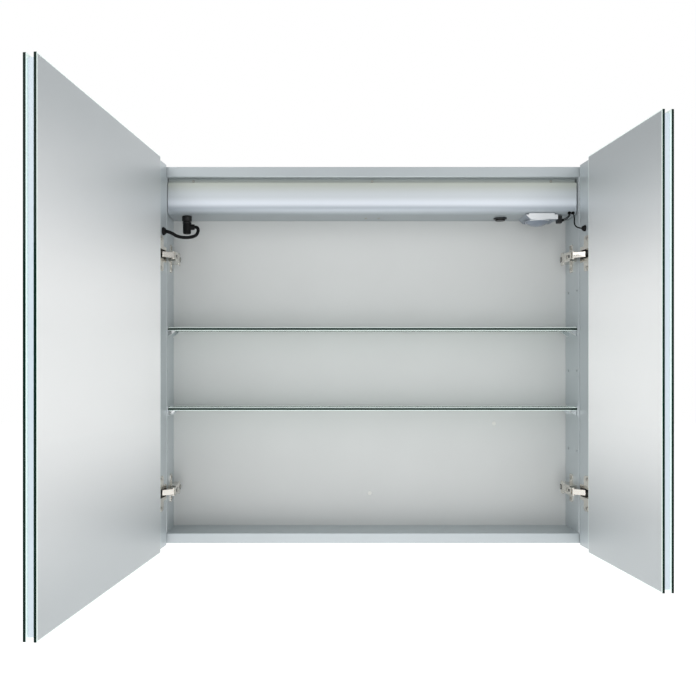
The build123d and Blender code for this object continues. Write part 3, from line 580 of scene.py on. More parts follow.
def housing_lacquer_painted_reflection():
    """Silver-grey lacquered folded sheet, satin, with a painted reflection: its colour is painted
    greenish grey and darker at the top, darker at the underside, with a bright bluish painted
    highlight low down.
    """
    made, tree, shader, where = new_material("silver_lacquered_sheet")
    low, high = node_box("housing_cover")
    height = add_node(tree, "ShaderNodeSeparateXYZ", {"Vector": where}).outputs["Z"]
    mapped = add_node(
        tree,
        "ShaderNodeMapRange",
        {"Value": height, "From Min": low.z * MM, "From Max": high.z * MM},
    )
    # Painted reflection by height: painted shade at the underside, a painted bluish-white highlight
    # low down, painted greenish grey and darker at the top
    stops = [
        (0.0, linear("A3AAAE")),
        (0.16, linear("B8C0C8")),
        (0.3, linear("EAF0F8")),
        (0.5, linear("D3D9DD")),
        (0.86, linear("BCC1B9")),
        (1.0, linear("A6ADAD")),
    ]
    tree.links.new(ramp(tree, mapped.outputs["Result"], stops, "EASE"), shader.inputs["Base Color"])
    fleck = mottle(tree, where, per_metre(0.7))
    tree.links.new(roughness_from(tree, fleck, 0.3, 0.4), shader.inputs["Roughness"])
    shader.inputs["Metallic"].default_value = 0.25
    bump(tree, shader, fleck, 6e-6)
    return made


# ---------------------------------------------------------------------------
# Places: local axes of the body's sides and of the open doors
# ---------------------------------------------------------------------------
def placed(origin, x_axis, y_axis, z_axis):
    """Matrix from local millimetres to the row frame, in metres."""
    turn = Matrix((x_axis, y_axis, z_axis)).transposed().to_4x4()
    return Matrix.Translation(Vector(origin) * MM) @ turn @ Matrix.Scale(MM, 4)


def side_place(side, level):
    """x inwards from the outer face, y forwards of the front plane, z up."""
    sign = SIDES[side]
    return placed((sign * HALF_WIDTH, FRONT, level), (-sign, 0, 0), (0, -1, 0), (0, 0, 1))


def door_place(side, level):
    """x along the door from its hinge edge, y outwards from the bare strip, z up."""
    sign = SIDES[side]
    turn = OPEN_ANGLE[side]
    pivot = Vector(JOINTS[f"{side}_door_swing"]["pos_m"]) / MM
    pole_in = HALF_WIDTH - abs(pivot.x)
    pole_out = FRONT - pivot.y
    du, dv = FRAME_IN - pole_in, STRIP_OUT - pole_out
    u = pole_in + du * math.cos(turn) - dv * math.sin(turn)
    v = pole_out + du * math.sin(turn) + dv * math.cos(turn)
    along = (-sign * math.cos(turn), -math.sin(turn), 0)
    out = (sign * math.sin(turn), -math.cos(turn), 0)
    return placed((sign * (HALF_WIDTH - u), FRONT - v, level), along, out, (0, 0, 1))


def inward(place, x, y, z):
    """Place of a detail that is turned about the local x axis."""
    return place @ Matrix.Translation((x, y, z)) @ QUARTER_ABOUT_Y


FLAT = placed((0, 0, 0), (1, 0, 0), (0, 1, 0), (0, 0, 1))
RAISED_INWARD = Matrix(((0, 0, 1, 0), (1, 0, 0, 0), (0, 1, 0, 0), (0, 0, 0, 1)))


# ---------------------------------------------------------------------------
# Mesh making
# ---------------------------------------------------------------------------
def show(name, data):
    """New object of some data, in the scene."""
    made = bpy.data.objects.new(name, data)
    bpy.context.scene.collection.objects.link(made)
    return made


def bridge(shell, lower, upper, material):
    """Joins two rings of the same number of points by four-sided faces."""
    for i in range(len(lower)):
        j = (i + 1) % len(lower)
        shell.faces.new((lower[i], lower[j], upper[j], upper[i])).material_index = material


class Maker:
    """Gathers closed shells into one mesh, in the row frame."""

    def __init__(self, name, *materials):
        self.name = name
        self.bm = bmesh.new()
        self.materials = materials

    def add(self, shell, place, material=0, smooth=False):
        """Takes in a shell made in local millimetres, with its faces turned outwards."""
        bmesh.ops.recalc_face_normals(shell, faces=shell.faces)
        bmesh.ops.transform(shell, matrix=place, verts=shell.verts)
        if place.determinant() < 0:
            bmesh.ops.reverse_faces(shell, faces=shell.faces)
        for face in shell.faces:
            face.material_index = material if face.material_index == 0 else face.material_index
            face.smooth = smooth or face.smooth
        part = bpy.data.meshes.new("part")
        shell.to_mesh(part)
        shell.free()
        self.bm.from_mesh(part)
        bpy.data.meshes.remove(part)

    def prism(self, outline, low, high, place, edge=0.25, material=0):
        """Outline in x and y, raised along z, its edges rounded."""
        shell = bmesh.new()
        ring = [shell.verts.new((x, y, low)) for x, y in outline]
        face = shell.faces.new(ring)
        raised = bmesh.ops.extrude_face_region(shell, geom=[face])
        top = [v for v in raised["geom"] if isinstance(v, bmesh.types.BMVert)]
        bmesh.ops.translate(shell, vec=(0, 0, high - low), verts=top)
        bmesh.ops.recalc_face_normals(shell, faces=shell.faces)
        if edge:
            sharp = [e for e in shell.edges if e.calc_face_angle(0) > ROUNDED]
            bmesh.ops.bevel(
                shell,
                geom=sharp,
                offset=edge,
                segments=EDGE_SEGMENTS,
                profile=0.5,
                affect="EDGES",
                clamp_overlap=True,
            )
        self.add(shell, place, material)

    def block(self, low, high, place, edge=0.25, material=0):
        """Box between two corners, its edges rounded."""
        outline = [(low[0], low[1]), (high[0], low[1]), (high[0], high[1]), (low[0], high[1])]
        self.prism(outline, low[2], high[2], place, edge, material)

    def lathe(self, profile, place, steps, material=0):
        """Profile of (radius, height) turned about z, closed where it meets the axis."""
        shell = bmesh.new()
        rings = []
        for radius, height in profile:
            if radius < 1e-6:
                rings.append([shell.verts.new((0, 0, height))])
                continue
            angles = [2 * math.pi * i / steps for i in range(steps)]
            rings.append(
                [
                    shell.verts.new((radius * math.cos(a), radius * math.sin(a), height))
                    for a in angles
                ]
            )
        closed = len(rings[0]) > 1 and len(rings[-1]) > 1
        pairs = list(zip(rings, rings[1:])) + ([(rings[-1], rings[0])] if closed else [])
        for lower, upper in pairs:
            for i in range(steps):
                j = (i + 1) % steps
                loop = []
                for vert in (
                    lower[i % len(lower)],
                    lower[j % len(lower)],
                    upper[j % len(upper)],
                    upper[i % len(upper)],
                ):
                    if vert not in loop:
                        loop.append(vert)
                shell.faces.new(loop)
        self.add(shell, place, material, smooth=True)

    def done(self, body, slot, *replaced):
        """Finishes the piece: its object, its body and the CAD nodes it stands for."""
        mesh = bpy.data.meshes.new(self.name)
        self.bm.to_mesh(mesh)
        self.bm.free()
        for name in self.materials:
            mesh.materials.append(MATERIALS[name])
        piece = show(self.name, mesh)
        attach(piece, body)
        if replaced:
            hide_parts(*replaced)
        soften(piece)
        return piece


def soften(piece):
    """Keeps flat faces flat and rounds the shading of turned ones."""
    work = bmesh.new()
    work.from_mesh(piece.data)
    for edge in work.edges:
        edge.smooth = edge.calc_face_angle(0) < SHADED_SHARP
    work.to_mesh(piece.data)
    work.free()


def corner_arc(cx, cy, radius, start, end, steps=8):
    """Points of an arc, its angles in degrees."""
    return [
        (
            cx + radius * math.cos(math.radians(start + (end - start) * i / steps)),
            cy + radius * math.sin(math.radians(start + (end - start) * i / steps)),
        )
        for i in range(steps + 1)
    ]


def round_rectangle(x0, x1, y0, y1, radius, steps=6):
    """Outline of a rectangle with rounded corners."""
    return (
        corner_arc(x1 - radius, y0 + radius, radius, -90, 0, steps)
        + corner_arc(x1 - radius, y1 - radius, radius, 0, 90, steps)
        + corner_arc(x0 + radius, y1 - radius, radius, 90, 180, steps)
        + corner_arc(x0 + radius, y0 + radius, radius, 180, 270, steps)
    )


def finish_node(name, material, edge):
    """Finishes a CAD node, or a merged copy with broken edges that stands for it."""
    piece = NODES[name]
    if edge:
        piece = broken_copy(piece, edge)
    piece.data.materials.clear()
    piece.data.materials.append(MATERIALS[material])
    for face in piece.data.polygons:
        face.material_index = 0
    return piece


def broken_copy(node, edge):
    """A copy of a CAD node with broken edges, in its place. The node itself is left alone."""
    piece = show(f"{node.name}_finished", node.data.copy())
    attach(piece, node["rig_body"])
    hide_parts(node.name)
    merged = bmesh.new()
    merged.from_mesh(piece.data)
    bmesh.ops.remove_doubles(merged, verts=merged.verts, dist=MERGE)
    merged.to_mesh(piece.data)
    merged.free()
    broken = piece.modifiers.new("broken_edges", "BEVEL")
    broken.width = edge * MM
    broken.segments = EDGE_SEGMENTS
    broken.limit_method = "ANGLE"
    broken.angle_limit = BROKEN
    broken.loop_slide = False
    broken.harden_normals = False
    broken.use_clamp_overlap = True
    return piece


class CabinetOperator(bpy.types.Operator):
    """Shared settings of the cabinet's operators."""

    bl_options = {"REGISTER", "UNDO"}

    def execute(self, context):
        self.build(context.scene.cabinet_sizes, context.scene.cabinet_colours)
        return {"FINISHED"}


# ---------------------------------------------------------------------------
# Body
# ---------------------------------------------------------------------------
class CABINET_OT_body(CabinetOperator):
    """Finishes the profiles, the back and what stands behind it"""

    bl_idname = "cabinet.body"
    bl_label = "Body"

    def build(self, sizes, colours):
        make_materials(colours)
        edge = sizes.edge_round / MM
        for name in ("left_side_panel", "right_side_panel"):
            finish_node(name, "aluminium", edge)
        for name in ("top_panel", "bottom_panel"):
            finish_node(name, "aluminium_across", edge)
        finish_node("back_panel", "back", 0)
        finish_node("back_plugs", "white_plastic", 0.2)
        finish_node("mains_gland", "black_plastic", 0.4)
        finish_node("lower_spacers", "rubber", 0.6)
        for name in ("wall_rail", "hanging_hooks", "corner_connectors"):
            finish_node(name, "zinc", 0.4)


# ---------------------------------------------------------------------------
# Doors
# ---------------------------------------------------------------------------
def mirror(side, name, span, near, far, levels, bevel):
    """Glass plate with ground bevels: near is its hidden face, far its open one."""
    made = Maker(f"{side}_{name}_glass", "silver_painted_highlight", "glass_edge", "ground")
    shell = bmesh.new()
    s0, s1 = span
    z0, z1 = levels
    slope = ARRIS if far > near else -ARRIS
    rings = []
    for t, inset in ((near, 0), (far - slope, 0), (far, bevel)):
        a, b, c, d = s0 + inset, s1 - inset, z0 + inset, z1 - inset
        rings.append([shell.verts.new((s, t, z)) for s, z in ((a, c), (b, c), (b, d), (a, d))])
    shell.faces.new(rings[0]).material_index = 2
    shell.faces.new(rings[2])
    for material, lower, upper in zip((1, 2), rings, rings[1:]):
        bridge(shell, lower, upper, material)
    made.add(shell, door_place(side, 0))
    made.done(f"{side}_door", "mirror_glass", f"{side}_{name}")


class CABINET_OT_doors(CabinetOperator):
    """Makes the mirrors and finishes the door frames and their lit channels"""

    bl_idname = "cabinet.doors"
    bl_label = "Doors"

    def build(self, sizes, colours):
        bevel = sizes.glass_bevel / MM
        for side in SIDES:
            outer_low, outer_high = node_box(f"{side}_outer_mirror")
            levels = (outer_low.z, outer_high.z)
            place = door_place(side, 0).inverted()
            corners = NODES[f"{side}_outer_mirror"].data.vertices
            reach = max((place @ v.co).x for v in corners) - MIRROR_SETBACK
            span = (-HINGE_OVER, reach)
            mirror(side, "outer_mirror", span, FRAME_DEPTH, FRAME_DEPTH + GLASS, levels, bevel)
            mirror(side, "inner_mirror", (STRIP_WIDTH, reach), 0, -GLASS, levels, bevel)
            finish_node(f"{side}_door_frame", "aluminium", sizes.edge_round / MM)
            finish_node(f"{side}_edge_diffuser", "glow", 0.4)
            finish_node(f"{side}_led_strip", "board", 0)


# ---------------------------------------------------------------------------
# Hinges
# ---------------------------------------------------------------------------
class CABINET_OT_hinges(CabinetOperator):
    """Finishes the hinges and adds their rivets, cup damper pieces and adjusting screws, with dark
    pieces of painted shade in their recesses and cups
    """

    bl_idname = "cabinet.hinges"
    bl_label = "Hinges"

    def build(self, sizes, colours):
        for side in SIDES:
            finish_node(f"{side}_hinge_plates", "nickel", 0.4)
            finish_node(f"{side}_hinge_links", "nickel", 0.5)
            details = Maker(f"{side}_hinge_details", "nickel", "screw", "black_plastic")
            cup_dampers_and_shade = Maker(f"{side}_hinge_dampers", "black_plastic", "nickel")
            for word, level in HINGE_LEVELS.items():
                finish_node(f"{side}_{word}_hinge_arm", "nickel", 0.4)
                finish_node(f"{side}_{word}_hinge_cup", "nickel", 0.3)
                place = side_place(side, level)
                # Rivet heads of the nose pin, one on each cheek
                for sign in (-1, 1):
                    pin = place @ Matrix.Translation((*NOSE_PIN, sign * CHEEK))
                    pin = pin @ Matrix.Rotation(math.pi if sign < 0 else 0, 4, "X")
                    details.lathe(RIVET_HEAD, pin, 20)
                # Side adjusting screw in the web
                adjust = inward(place, WEB_FACE, ADJUSTER, 0)
                details.lathe(ADJUSTER_HEAD, adjust, 24, 1)
                # Black plastic well round the tail screw, and a black block in the adjuster's slot
                # in the web: painted shade, dark pieces put where these recesses are in shade
                details.lathe(SCREW_WELL_PAINTED_SHADE, inward(place, WEB_FACE, TAIL_SCREW, 0), 28, 2)
                details.block((WEB_BACK, -8.6, -2.6), (SLOT_FACE, -2.2, 2.6), place, 0.2, 2)
                # Stiffening ribs pressed up along the arm
                for w in (-RIB_OFFSET, RIB_OFFSET):
                    rib = round_rectangle(-44, -24, w - RIB_HALF, w + RIB_HALF, 0.85)
                    turned = place @ Matrix.Translation((RIB_SEAT, 0, 0)) @ RAISED_INWARD
                    details.prism(rib, 0, 0.8, turned, 0.35)
                # Cam heads of the mounting plate, below and above the arm
                for w in (-CAM_OFFSET, CAM_OFFSET):
                    details.lathe(CAM_HEAD, inward(place, PLATE_FACE, PLATE_MID, w), 20)
                # Dark plastic damper in the bottom of the cup, also painted shade: its floor and
                # walls darken the cup's cavity
                cup = door_place(side, level)
                floor = round_rectangle(6, 38, 7.4, 8.6, 0.5)
                cup_dampers_and_shade.prism(floor, -DAMPER_HALF, DAMPER_HALF, cup, 0.3)
                for w in (-DAMPER_SIDE, DAMPER_SIDE):
                    wall = round_rectangle(26, 38, 1.0, 8.6, 1.2)
                    cup_dampers_and_shade.prism(wall, w - 1.2, w + 1.2, cup, 0.3)
            details.done("cabinet", "nickel_steel")
            cup_dampers_and_shade.done(f"{side}_door", "dark_plastic")


# ---------------------------------------------------------------------------
# Shelves
# ---------------------------------------------------------------------------
class CABINET_OT_shelves(CabinetOperator):
    """Makes the glass shelves and finishes their clips"""

    bl_idname = "cabinet.shelves"
    bl_label = "Shelves"

    def build(self, sizes, colours):
        arris = sizes.shelf_arris / MM
        for name in ("upper_shelf", "lower_shelf"):
            low, high = node_box(name)
            made = Maker(f"{name}_glass", "glass", "glass_edge", "ground")
            shell = bmesh.new()
            rings = []
            for z, inset in (
                (low.z, arris), (low.z + arris, 0), (high.z - arris, 0), (high.z, arris)
            ):
                x0, x1, y0, y1 = low.x + inset, high.x - inset, low.y + inset, high.y - inset
                rings.append(
                    [
                        shell.verts.new((x, y, z))
                        for x, y in ((x0, y0), (x1, y0), (x1, y1), (x0, y1))
                    ]
                )
            shell.faces.new(rings[0])
            shell.faces.new(rings[3])
            for material, lower, upper in zip((2, 1, 2), rings, rings[1:]):
                bridge(shell, lower, upper, material)
            made.add(shell, FLAT)
            made.done("cabinet", "clear_glass", name)
        finish_node("shelf_clips", "chrome", 0.5)


# ---------------------------------------------------------------------------
# Housing under the top profile
# ---------------------------------------------------------------------------
class CABINET_OT_housing(CabinetOperator):
    """Finishes the folded housing cover and what it holds"""

    bl_idname = "cabinet.housing"
    bl_label = "Housing"

    def build(self, sizes, colours):
        for name in ("housing_cover", "housing_left_cap", "housing_right_cap"):
            finish_node(name, "lacquer_painted_reflection", 0.3)
        finish_node("housing_rail", "zinc", 0.3)
        finish_node("led_driver", "white_plastic", 0.5)
        finish_node("terminal_block", "white_plastic", 0.4)
        finish_node("lead_socket", "black_plastic", 0.3)
        finish_node("lead_bushes", "rubber", 0.2)


# ---------------------------------------------------------------------------
# Button, sensor and plug
# ---------------------------------------------------------------------------
class CABINET_OT_devices(CabinetOperator):
    """Finishes the button, the sensor and the plugs, and adds their coil, collar and boot"""

    bl_idname = "cabinet.devices"
    bl_label = "Devices"

    def build(self, sizes, colours):
        finish_node("switch_bezel", "dark_plastic", 0.4)
        finish_node("switch_button", "black_plastic", 0.3)
        self.spring()
        for side in SIDES:
            finish_node(f"{side}_lead_grommet", "rubber", 0.4)
        sensor = finish_node("sensor_body", "sensor_shell", 0.5)
        sensor.data.materials.append(MATERIALS["sensor_side"])
        # Painted shade: faces that don't face forwards get the grey shaded finish
        for face in sensor.data.polygons:
            face.material_index = 0 if face.normal.y < -0.7 else 1
        finish_node("sensor_lens", "lens", 0)
        finish_node("sensor_plug", "black_plastic", 0.5)
        finish_node("lead_plug", "rubber", 0.5)
        low, high = node_box("lead_socket")
        axis = Vector(((low.x + high.x) / 2, (low.y + high.y) / 2, low.z))
        collar = Maker("plug_collar", "black_plastic")
        nut = Matrix.Translation(axis * MM) @ Matrix.Scale(MM, 4)
        collar.lathe(PLUG_NUT, nut, 48)
        collar.lathe(PLUG_RING, nut, 48)
        for i in range(NUT_RIBS):
            turned = nut @ Matrix.Rotation(2 * math.pi * i / NUT_RIBS, 4, "Z")
            collar.block((8.0, -0.6, -9.0), (9.0, 0.6, -0.8), turned, 0.2)
        collar.done("cabinet", "black_rubber")
        plug_low, plug_high = node_box("sensor_plug")
        boot = Maker("sensor_plug_boot", "rubber")
        middle = Vector((plug_high.x, (plug_low.y + plug_high.y) / 2, plug_low.z + BOOT_LEVEL))
        along = Matrix.Translation(middle * MM) @ QUARTER_ABOUT_Y @ Matrix.Scale(MM, 4)
        boot.lathe(LEAD_BOOT, along, 28)
        boot.done("cabinet", "black_rubber")

    def spring(self):
        """Coil under the button, as long as the CAD spring; the real coil shortens as the button
        goes in, this one does not.
        """
        low, high = node_box("switch_spring")
        radius = (high.x - low.x - COIL_WIRE) / 2
        middle = (low + high) / 2
        foot = low.z + COIL_WIRE / 2
        rise = high.z - low.z - COIL_WIRE
        route = []
        for i in range(COIL_STEPS * COIL_TURNS + 1):
            angle = 2 * math.pi * i / COIL_STEPS
            share = i / (COIL_STEPS * COIL_TURNS)
            x = middle.x + radius * math.cos(angle)
            y = middle.y + radius * math.sin(angle)
            route.append((x, y, foot + rise * share))
        coil, _ = tube("switch_coil", route, COIL_WIRE, "screw", 2)
        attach(coil, "cabinet")
        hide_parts("switch_spring")
        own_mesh(coil)


# ---------------------------------------------------------------------------
# Leads
# ---------------------------------------------------------------------------
def spline(name, route, thickness, steps):
    """Open smooth curve with the route's points, in millimetres, as its control points."""
    curve = bpy.data.curves.new(name, "CURVE")
    curve.dimensions = "3D"
    curve.resolution_u = steps
    curve.bevel_depth = thickness / 2 * MM
    curve.bevel_resolution = 6
    curve.use_fill_caps = True
    line = curve.splines.new("NURBS")
    line.points.add(len(route) - 1)
    for point, place in zip(line.points, route):
        point.co = (*(c * MM for c in place), 1)
    line.order_u = 3
    line.use_endpoint_u = True
    return show(name, curve)


def as_mesh(source):
    """Plain mesh of an object as it is shown."""
    graph = bpy.context.evaluated_depsgraph_get()
    return bpy.data.meshes.new_from_object(source.evaluated_get(graph))


def tube(name, route, thickness, finish="rubber", steps=24):
    """Mesh tube along a route's spline, and the points that it follows."""
    curve = spline(name + "_curve", route, thickness, steps)
    skin = as_mesh(curve)
    curve.data.bevel_depth = 0
    path = [v.co.copy() for v in as_mesh(curve).vertices]
    bpy.data.objects.remove(curve)
    for face in skin.polygons:
        face.use_smooth = True
    skin.materials.clear()
    skin.materials.append(MATERIALS[finish])
    return show(name, skin), path


LEFT_ROUTE = [
    (-329.7, -74.0, -45.4),
    (-321.7, -74.0, -45.4),
    (-323.2, -83.0, -62.4),
    (-336.7, -100.0, -69.8),
    (-353.7, -117.0, -71.0),
    (-364.63, -125.86, -64.2),
    (-374.04, -124.57, -62.0),
]
RIGHT_ROUTE = [
    (369.0, -91.34, -22.74),
    (369.0, -99.97, -31.37),
    (363.5, -112.0, -47.0),
    (365.21, -127.21, -57.0),
    (373.6, -126.65, -57.0),
]
SENSOR_ROUTES = [
    [
        (349.5, -84.0, -35.1),
        (356.6, -84.0, -35.1),
        (363.1, -96.44, -27.84),
        (363.1, -91.34, -22.74),
    ],
    [
        (349.5, -84.0, -32.7),
        (355.4, -84.0, -32.7),
        (361.3, -96.44, -27.84),
        (361.3, -91.34, -22.74),
    ],
]


class CABINET_OT_leads(CabinetOperator):
    """Makes the leads from the housing to the doors and the sensor"""

    bl_idname = "cabinet.leads"
    bl_label = "Leads"

    def build(self, sizes, colours):
        for side, route in (("left", LEFT_ROUTE), ("right", RIGHT_ROUTE)):
            thickness = LEAD_THICK[side]
            lead, path = tube(f"{side}_lead_sheath", route, thickness)
            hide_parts(f"{side}_door_lead")
            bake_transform(lead)
        wires = Maker("sensor_lead_sheaths", "rubber")
        for route in SENSOR_ROUTES:
            wire, _ = tube("sensor_wire", route, SENSOR_WIRE)
            wires.bm.from_mesh(wire.data)
            bpy.data.objects.remove(wire)
        wires.done("cabinet", "black_rubber", "sensor_leads")


# ---------------------------------------------------------------------------
# Screws
# ---------------------------------------------------------------------------
def screw_pattern():
    """Pan-head screw with a cross recess, its seat at the origin and its head along z."""
    head = Maker("screw_pattern", "screw")
    head.lathe(PAN_HEAD, FLAT, 32)
    piece = bpy.data.objects.new("screw_pattern", bpy.data.meshes.new("screw_pattern"))
    head.bm.to_mesh(piece.data)
    head.bm.free()
    piece.data.materials.append(MATERIALS["screw"])
    cross = Maker("recess", "screw")
    cross.block((-1.9, -0.38, 0.7), (1.9, 0.38, 3), FLAT, 0)
    cross.block((-0.38, -1.9, 0.7), (0.38, 1.9, 3), FLAT, 0)
    cutter = bpy.data.objects.new("recess", bpy.data.meshes.new("recess"))
    cross.bm.to_mesh(cutter.data)
    cross.bm.free()
    for made in (piece, cutter):
        bpy.context.scene.collection.objects.link(made)
    cut = piece.modifiers.new("recess", "BOOLEAN")
    cut.operation = "DIFFERENCE"
    cut.solver = "EXACT"
    cut.use_self = True
    cut.object = cutter
    bpy.context.view_layer.update()
    mesh = as_mesh(piece)
    bpy.data.objects.remove(cutter)
    bpy.data.objects.remove(piece)
    made = show("screw_pattern", mesh)
    soften(made)
    return made


def repeat_tree():
    """Sets a pattern on every point, facing the way and at the size that the point says."""
    tree = bpy.data.node_groups.new("set_screws", "GeometryNodeTree")
    face = tree.interface
    face.new_socket("Geometry", in_out="INPUT", socket_type="NodeSocketGeometry")
    face.new_socket("Pattern", in_out="INPUT", socket_type="NodeSocketObject")
    face.new_socket("Finish", in_out="INPUT", socket_type="NodeSocketMaterial")
    face.new_socket("Size", in_out="INPUT", socket_type="NodeSocketFloat")
    face.new_socket("Geometry", in_out="OUTPUT", socket_type="NodeSocketGeometry")
    given = add_node(tree, "NodeGroupInput").outputs
    facing = add_node(
        tree, "GeometryNodeInputNamedAttribute", {"Name": "facing"}, data_type="FLOAT_VECTOR"
    )
    share = add_node(tree, "GeometryNodeInputNamedAttribute", {"Name": "share"}, data_type="FLOAT")
    pattern = add_node(tree, "GeometryNodeObjectInfo", {"Object": given["Pattern"]})
    turn = add_node(
        tree, "FunctionNodeAlignRotationToVector", {"Vector": facing.outputs["Attribute"]}, axis="Z"
    )
    grown = add_node(
        tree,
        "ShaderNodeMath",
        {0: share.outputs["Attribute"], 1: given["Size"]},
        operation="MULTIPLY",
    )
    points = add_node(
        tree,
        "GeometryNodeInstanceOnPoints",
        {
            "Points": given["Geometry"],
            "Instance": pattern.outputs["Geometry"],
            "Rotation": turn.outputs["Rotation"],
            "Scale": grown.outputs[0],
        },
    )
    real = add_node(tree, "GeometryNodeRealizeInstances", {"Geometry": points.outputs["Instances"]})
    dressed = add_node(
        tree,
        "GeometryNodeSetMaterial",
        {"Geometry": real.outputs["Geometry"], "Material": given["Finish"]},
    )
    add_node(tree, "NodeGroupOutput", {"Geometry": dressed.outputs["Geometry"]})
    return tree


def set_screws(tree, pattern, stem, body, spots):
    """One mesh of screws. A spot is a place, the way it faces and its share of full size."""
    name = stem + "_set"
    mesh = bpy.data.meshes.new(name + "_spots")
    mesh.from_pydata([tuple(place) for place, _, _ in spots], [], [])
    mesh.attributes.new("facing", "FLOAT_VECTOR", "POINT")
    mesh.attributes.new("share", "FLOAT", "POINT")
    for i, (_, way, part) in enumerate(spots):
        mesh.attributes["facing"].data[i].vector = way
        mesh.attributes["share"].data[i].value = part
    holder = show(name + "_spots", mesh)
    setter = holder.modifiers.new("screws", "NODES")
    setter.node_group = tree
    keys = {
        item.name: item.identifier for item in tree.interface.items_tree if item.in_out == "INPUT"
    }
    setter[keys["Pattern"]] = pattern
    setter[keys["Finish"]] = MATERIALS["screw"]
    setter[keys["Size"]] = 1.0
    bpy.context.view_layer.update()
    made = show(name, as_mesh(holder))
    bpy.data.objects.remove(holder)
    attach(made, body)
    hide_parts(stem + "s")
    soften(made)


class CABINET_OT_screws(CabinetOperator):
    """Sets the screws of the hinges, the doors and the housing"""

    bl_idname = "cabinet.screws"
    bl_label = "Screws"

    def build(self, sizes, colours):
        tree = repeat_tree()
        pattern = screw_pattern()
        on_body = []
        for side, sign in SIDES.items():
            on_door = []
            for level in HINGE_LEVELS.values():
                place = side_place(side, level)
                for w in (-PLATE_HOLE, PLATE_HOLE):
                    on_body.append((place @ Vector((PLATE_FACE, PLATE_MID, w)), (-sign, 0, 0), 1.0))
                on_body.append((place @ Vector((WEB_FACE, TAIL_SCREW, 0)), (-sign, 0, 0), 1.0))
                door = door_place(side, level)
                way = (door.to_3x3() @ Vector((0, -1, 0))).normalized()
                for w in (-CUP_SCREW[1], CUP_SCREW[1]):
                    on_door.append((door @ Vector((CUP_SCREW[0], -WING, w)), way, 1.0))
            set_screws(tree, pattern, f"{side}_cup_screw", f"{side}_door", on_door)
        set_screws(tree, pattern, "hinge_screw", "cabinet", on_body)
        low, high = node_box("housing_cover")
        band = [(x, low.y + BAND_IN, high.z - BAND_DROP) for x in BAND_SCREWS]
        under = [(x, FRONT + UNDER_IN, low.z) for x in UNDER_SCREWS]
        on_housing = [(Vector(place) * MM, (0, -1, 0), SMALL_SCREW) for place in band]
        on_housing += [(Vector(place) * MM, (0, 0, -1), SMALL_SCREW) for place in under]
        set_screws(tree, pattern, "housing_screw", "cabinet", on_housing)
        bpy.data.objects.remove(pattern)


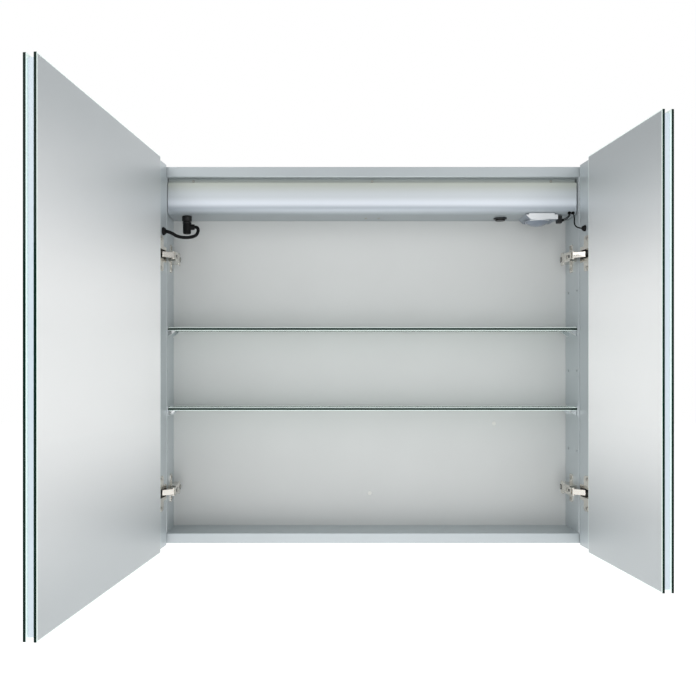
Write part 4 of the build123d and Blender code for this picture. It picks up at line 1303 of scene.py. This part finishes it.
# ---------------------------------------------------------------------------
# Stage
# ---------------------------------------------------------------------------
class CABINET_OT_stage(CabinetOperator):
    """Sets the camera, the lights, the world and a plain floor"""

    bl_idname = "cabinet.stage"
    bl_label = "Stage"

    def build(self, sizes, colours):
        scene = bpy.context.scene
        scene.view_settings.view_transform = "Standard"
        camera_data = bpy.data.cameras.new("camera")
        camera_data.lens = LENS
        camera_data.sensor_width = SENSOR
        camera_data.shift_x, camera_data.shift_y = SHIFT
        camera = show("camera", camera_data)
        camera.location = (EYE[0], FRONT * MM + EYE[1], BODY_MID * MM + EYE[2])
        camera.rotation_euler = (math.pi / 2, 0, 0)
        scene.camera = camera
        for name, place, power, width in LIGHTS:
            light = bpy.data.lights.new(name, "AREA")
            light.energy = power
            light.size = width
            lamp = show(name, light)
            lamp.location = place
            lamp.rotation_euler = (Vector(AIM) - Vector(place)).to_track_quat("-Z", "Y").to_euler()
        world = bpy.data.worlds.new("studio")
        world.use_nodes = True
        tree = world.node_tree
        tree.nodes.clear()
        paths = add_node(tree, "ShaderNodeLightPath")
        seen = add_node(tree, "ShaderNodeBackground", {"Color": (1, 1, 1, 1), "Strength": 1.0})
        soft = add_node(
            tree, "ShaderNodeBackground", {"Color": (0.96, 0.98, 1, 1), "Strength": WORLD_LIGHT}
        )
        both = add_node(
            tree,
            "ShaderNodeMixShader",
            {0: paths.outputs["Is Camera Ray"], 1: soft.outputs[0], 2: seen.outputs[0]},
        )
        add_node(tree, "ShaderNodeOutputWorld", {"Surface": both.outputs[0]})
        scene.world = world
        floor_material, tree, shader, where = new_material("pale_paper_floor")
        grain = mottle(tree, where, per_metre(3))
        tree.links.new(two_tone(tree, grain, "F6F6F4", 0.01), shader.inputs["Base Color"])
        shader.inputs["Roughness"].default_value = 0.9
        shader.inputs["Emission Color"].default_value = (1, 1, 1, 1)
        shader.inputs["Emission Strength"].default_value = FLOOR_GLOW
        made = bmesh.new()
        bmesh.ops.create_grid(made, x_segments=4, y_segments=4, size=FLOOR_HALF)
        bmesh.ops.translate(made, vec=(0, 0, CAD_BOX[0][2] - sizes.floor_drop), verts=made.verts)
        mesh = bpy.data.meshes.new("floor")
        made.to_mesh(mesh)
        made.free()
        mesh.materials.append(floor_material)
        show("floor", mesh)


# ---------------------------------------------------------------------------
# Panel, registration and the run
# ---------------------------------------------------------------------------
STEPS = (
    CABINET_OT_body,
    CABINET_OT_doors,
    CABINET_OT_hinges,
    CABINET_OT_shelves,
    CABINET_OT_housing,
    CABINET_OT_devices,
    CABINET_OT_leads,
    CABINET_OT_screws,
    CABINET_OT_stage,
)


class CABINET_PT_panel(bpy.types.Panel):
    """Lists the cabinet's settings and its operators"""

    bl_label = "Mirror Cabinet"
    bl_idname = "CABINET_PT_panel"
    bl_space_type = "VIEW_3D"
    bl_region_type = "UI"
    bl_category = "Cabinet"

    def draw(self, context):
        for group in (context.scene.cabinet_sizes, context.scene.cabinet_colours):
            box = self.layout.box()
            for name in group.bl_rna.properties.keys():
                if name not in ("rna_type", "name"):
                    box.prop(group, name)
        for step in STEPS:
            self.layout.operator(step.bl_idname)


CLASSES = (CabinetSizes, CabinetColours, *STEPS, CABINET_PT_panel)


def register():
    for made in CLASSES:
        bpy.utils.register_class(made)
    bpy.types.Scene.cabinet_sizes = bpy.props.PointerProperty(type=CabinetSizes)
    bpy.types.Scene.cabinet_colours = bpy.props.PointerProperty(type=CabinetColours)


def unregister():
    del bpy.types.Scene.cabinet_sizes
    del bpy.types.Scene.cabinet_colours
    for made in reversed(CLASSES):
        bpy.utils.unregister_class(made)


def main():
    register()
    for step in STEPS:
        group, name = step.bl_idname.split(".")
        getattr(getattr(bpy.ops, group), name)()


if __name__ == "__main__":
    main()
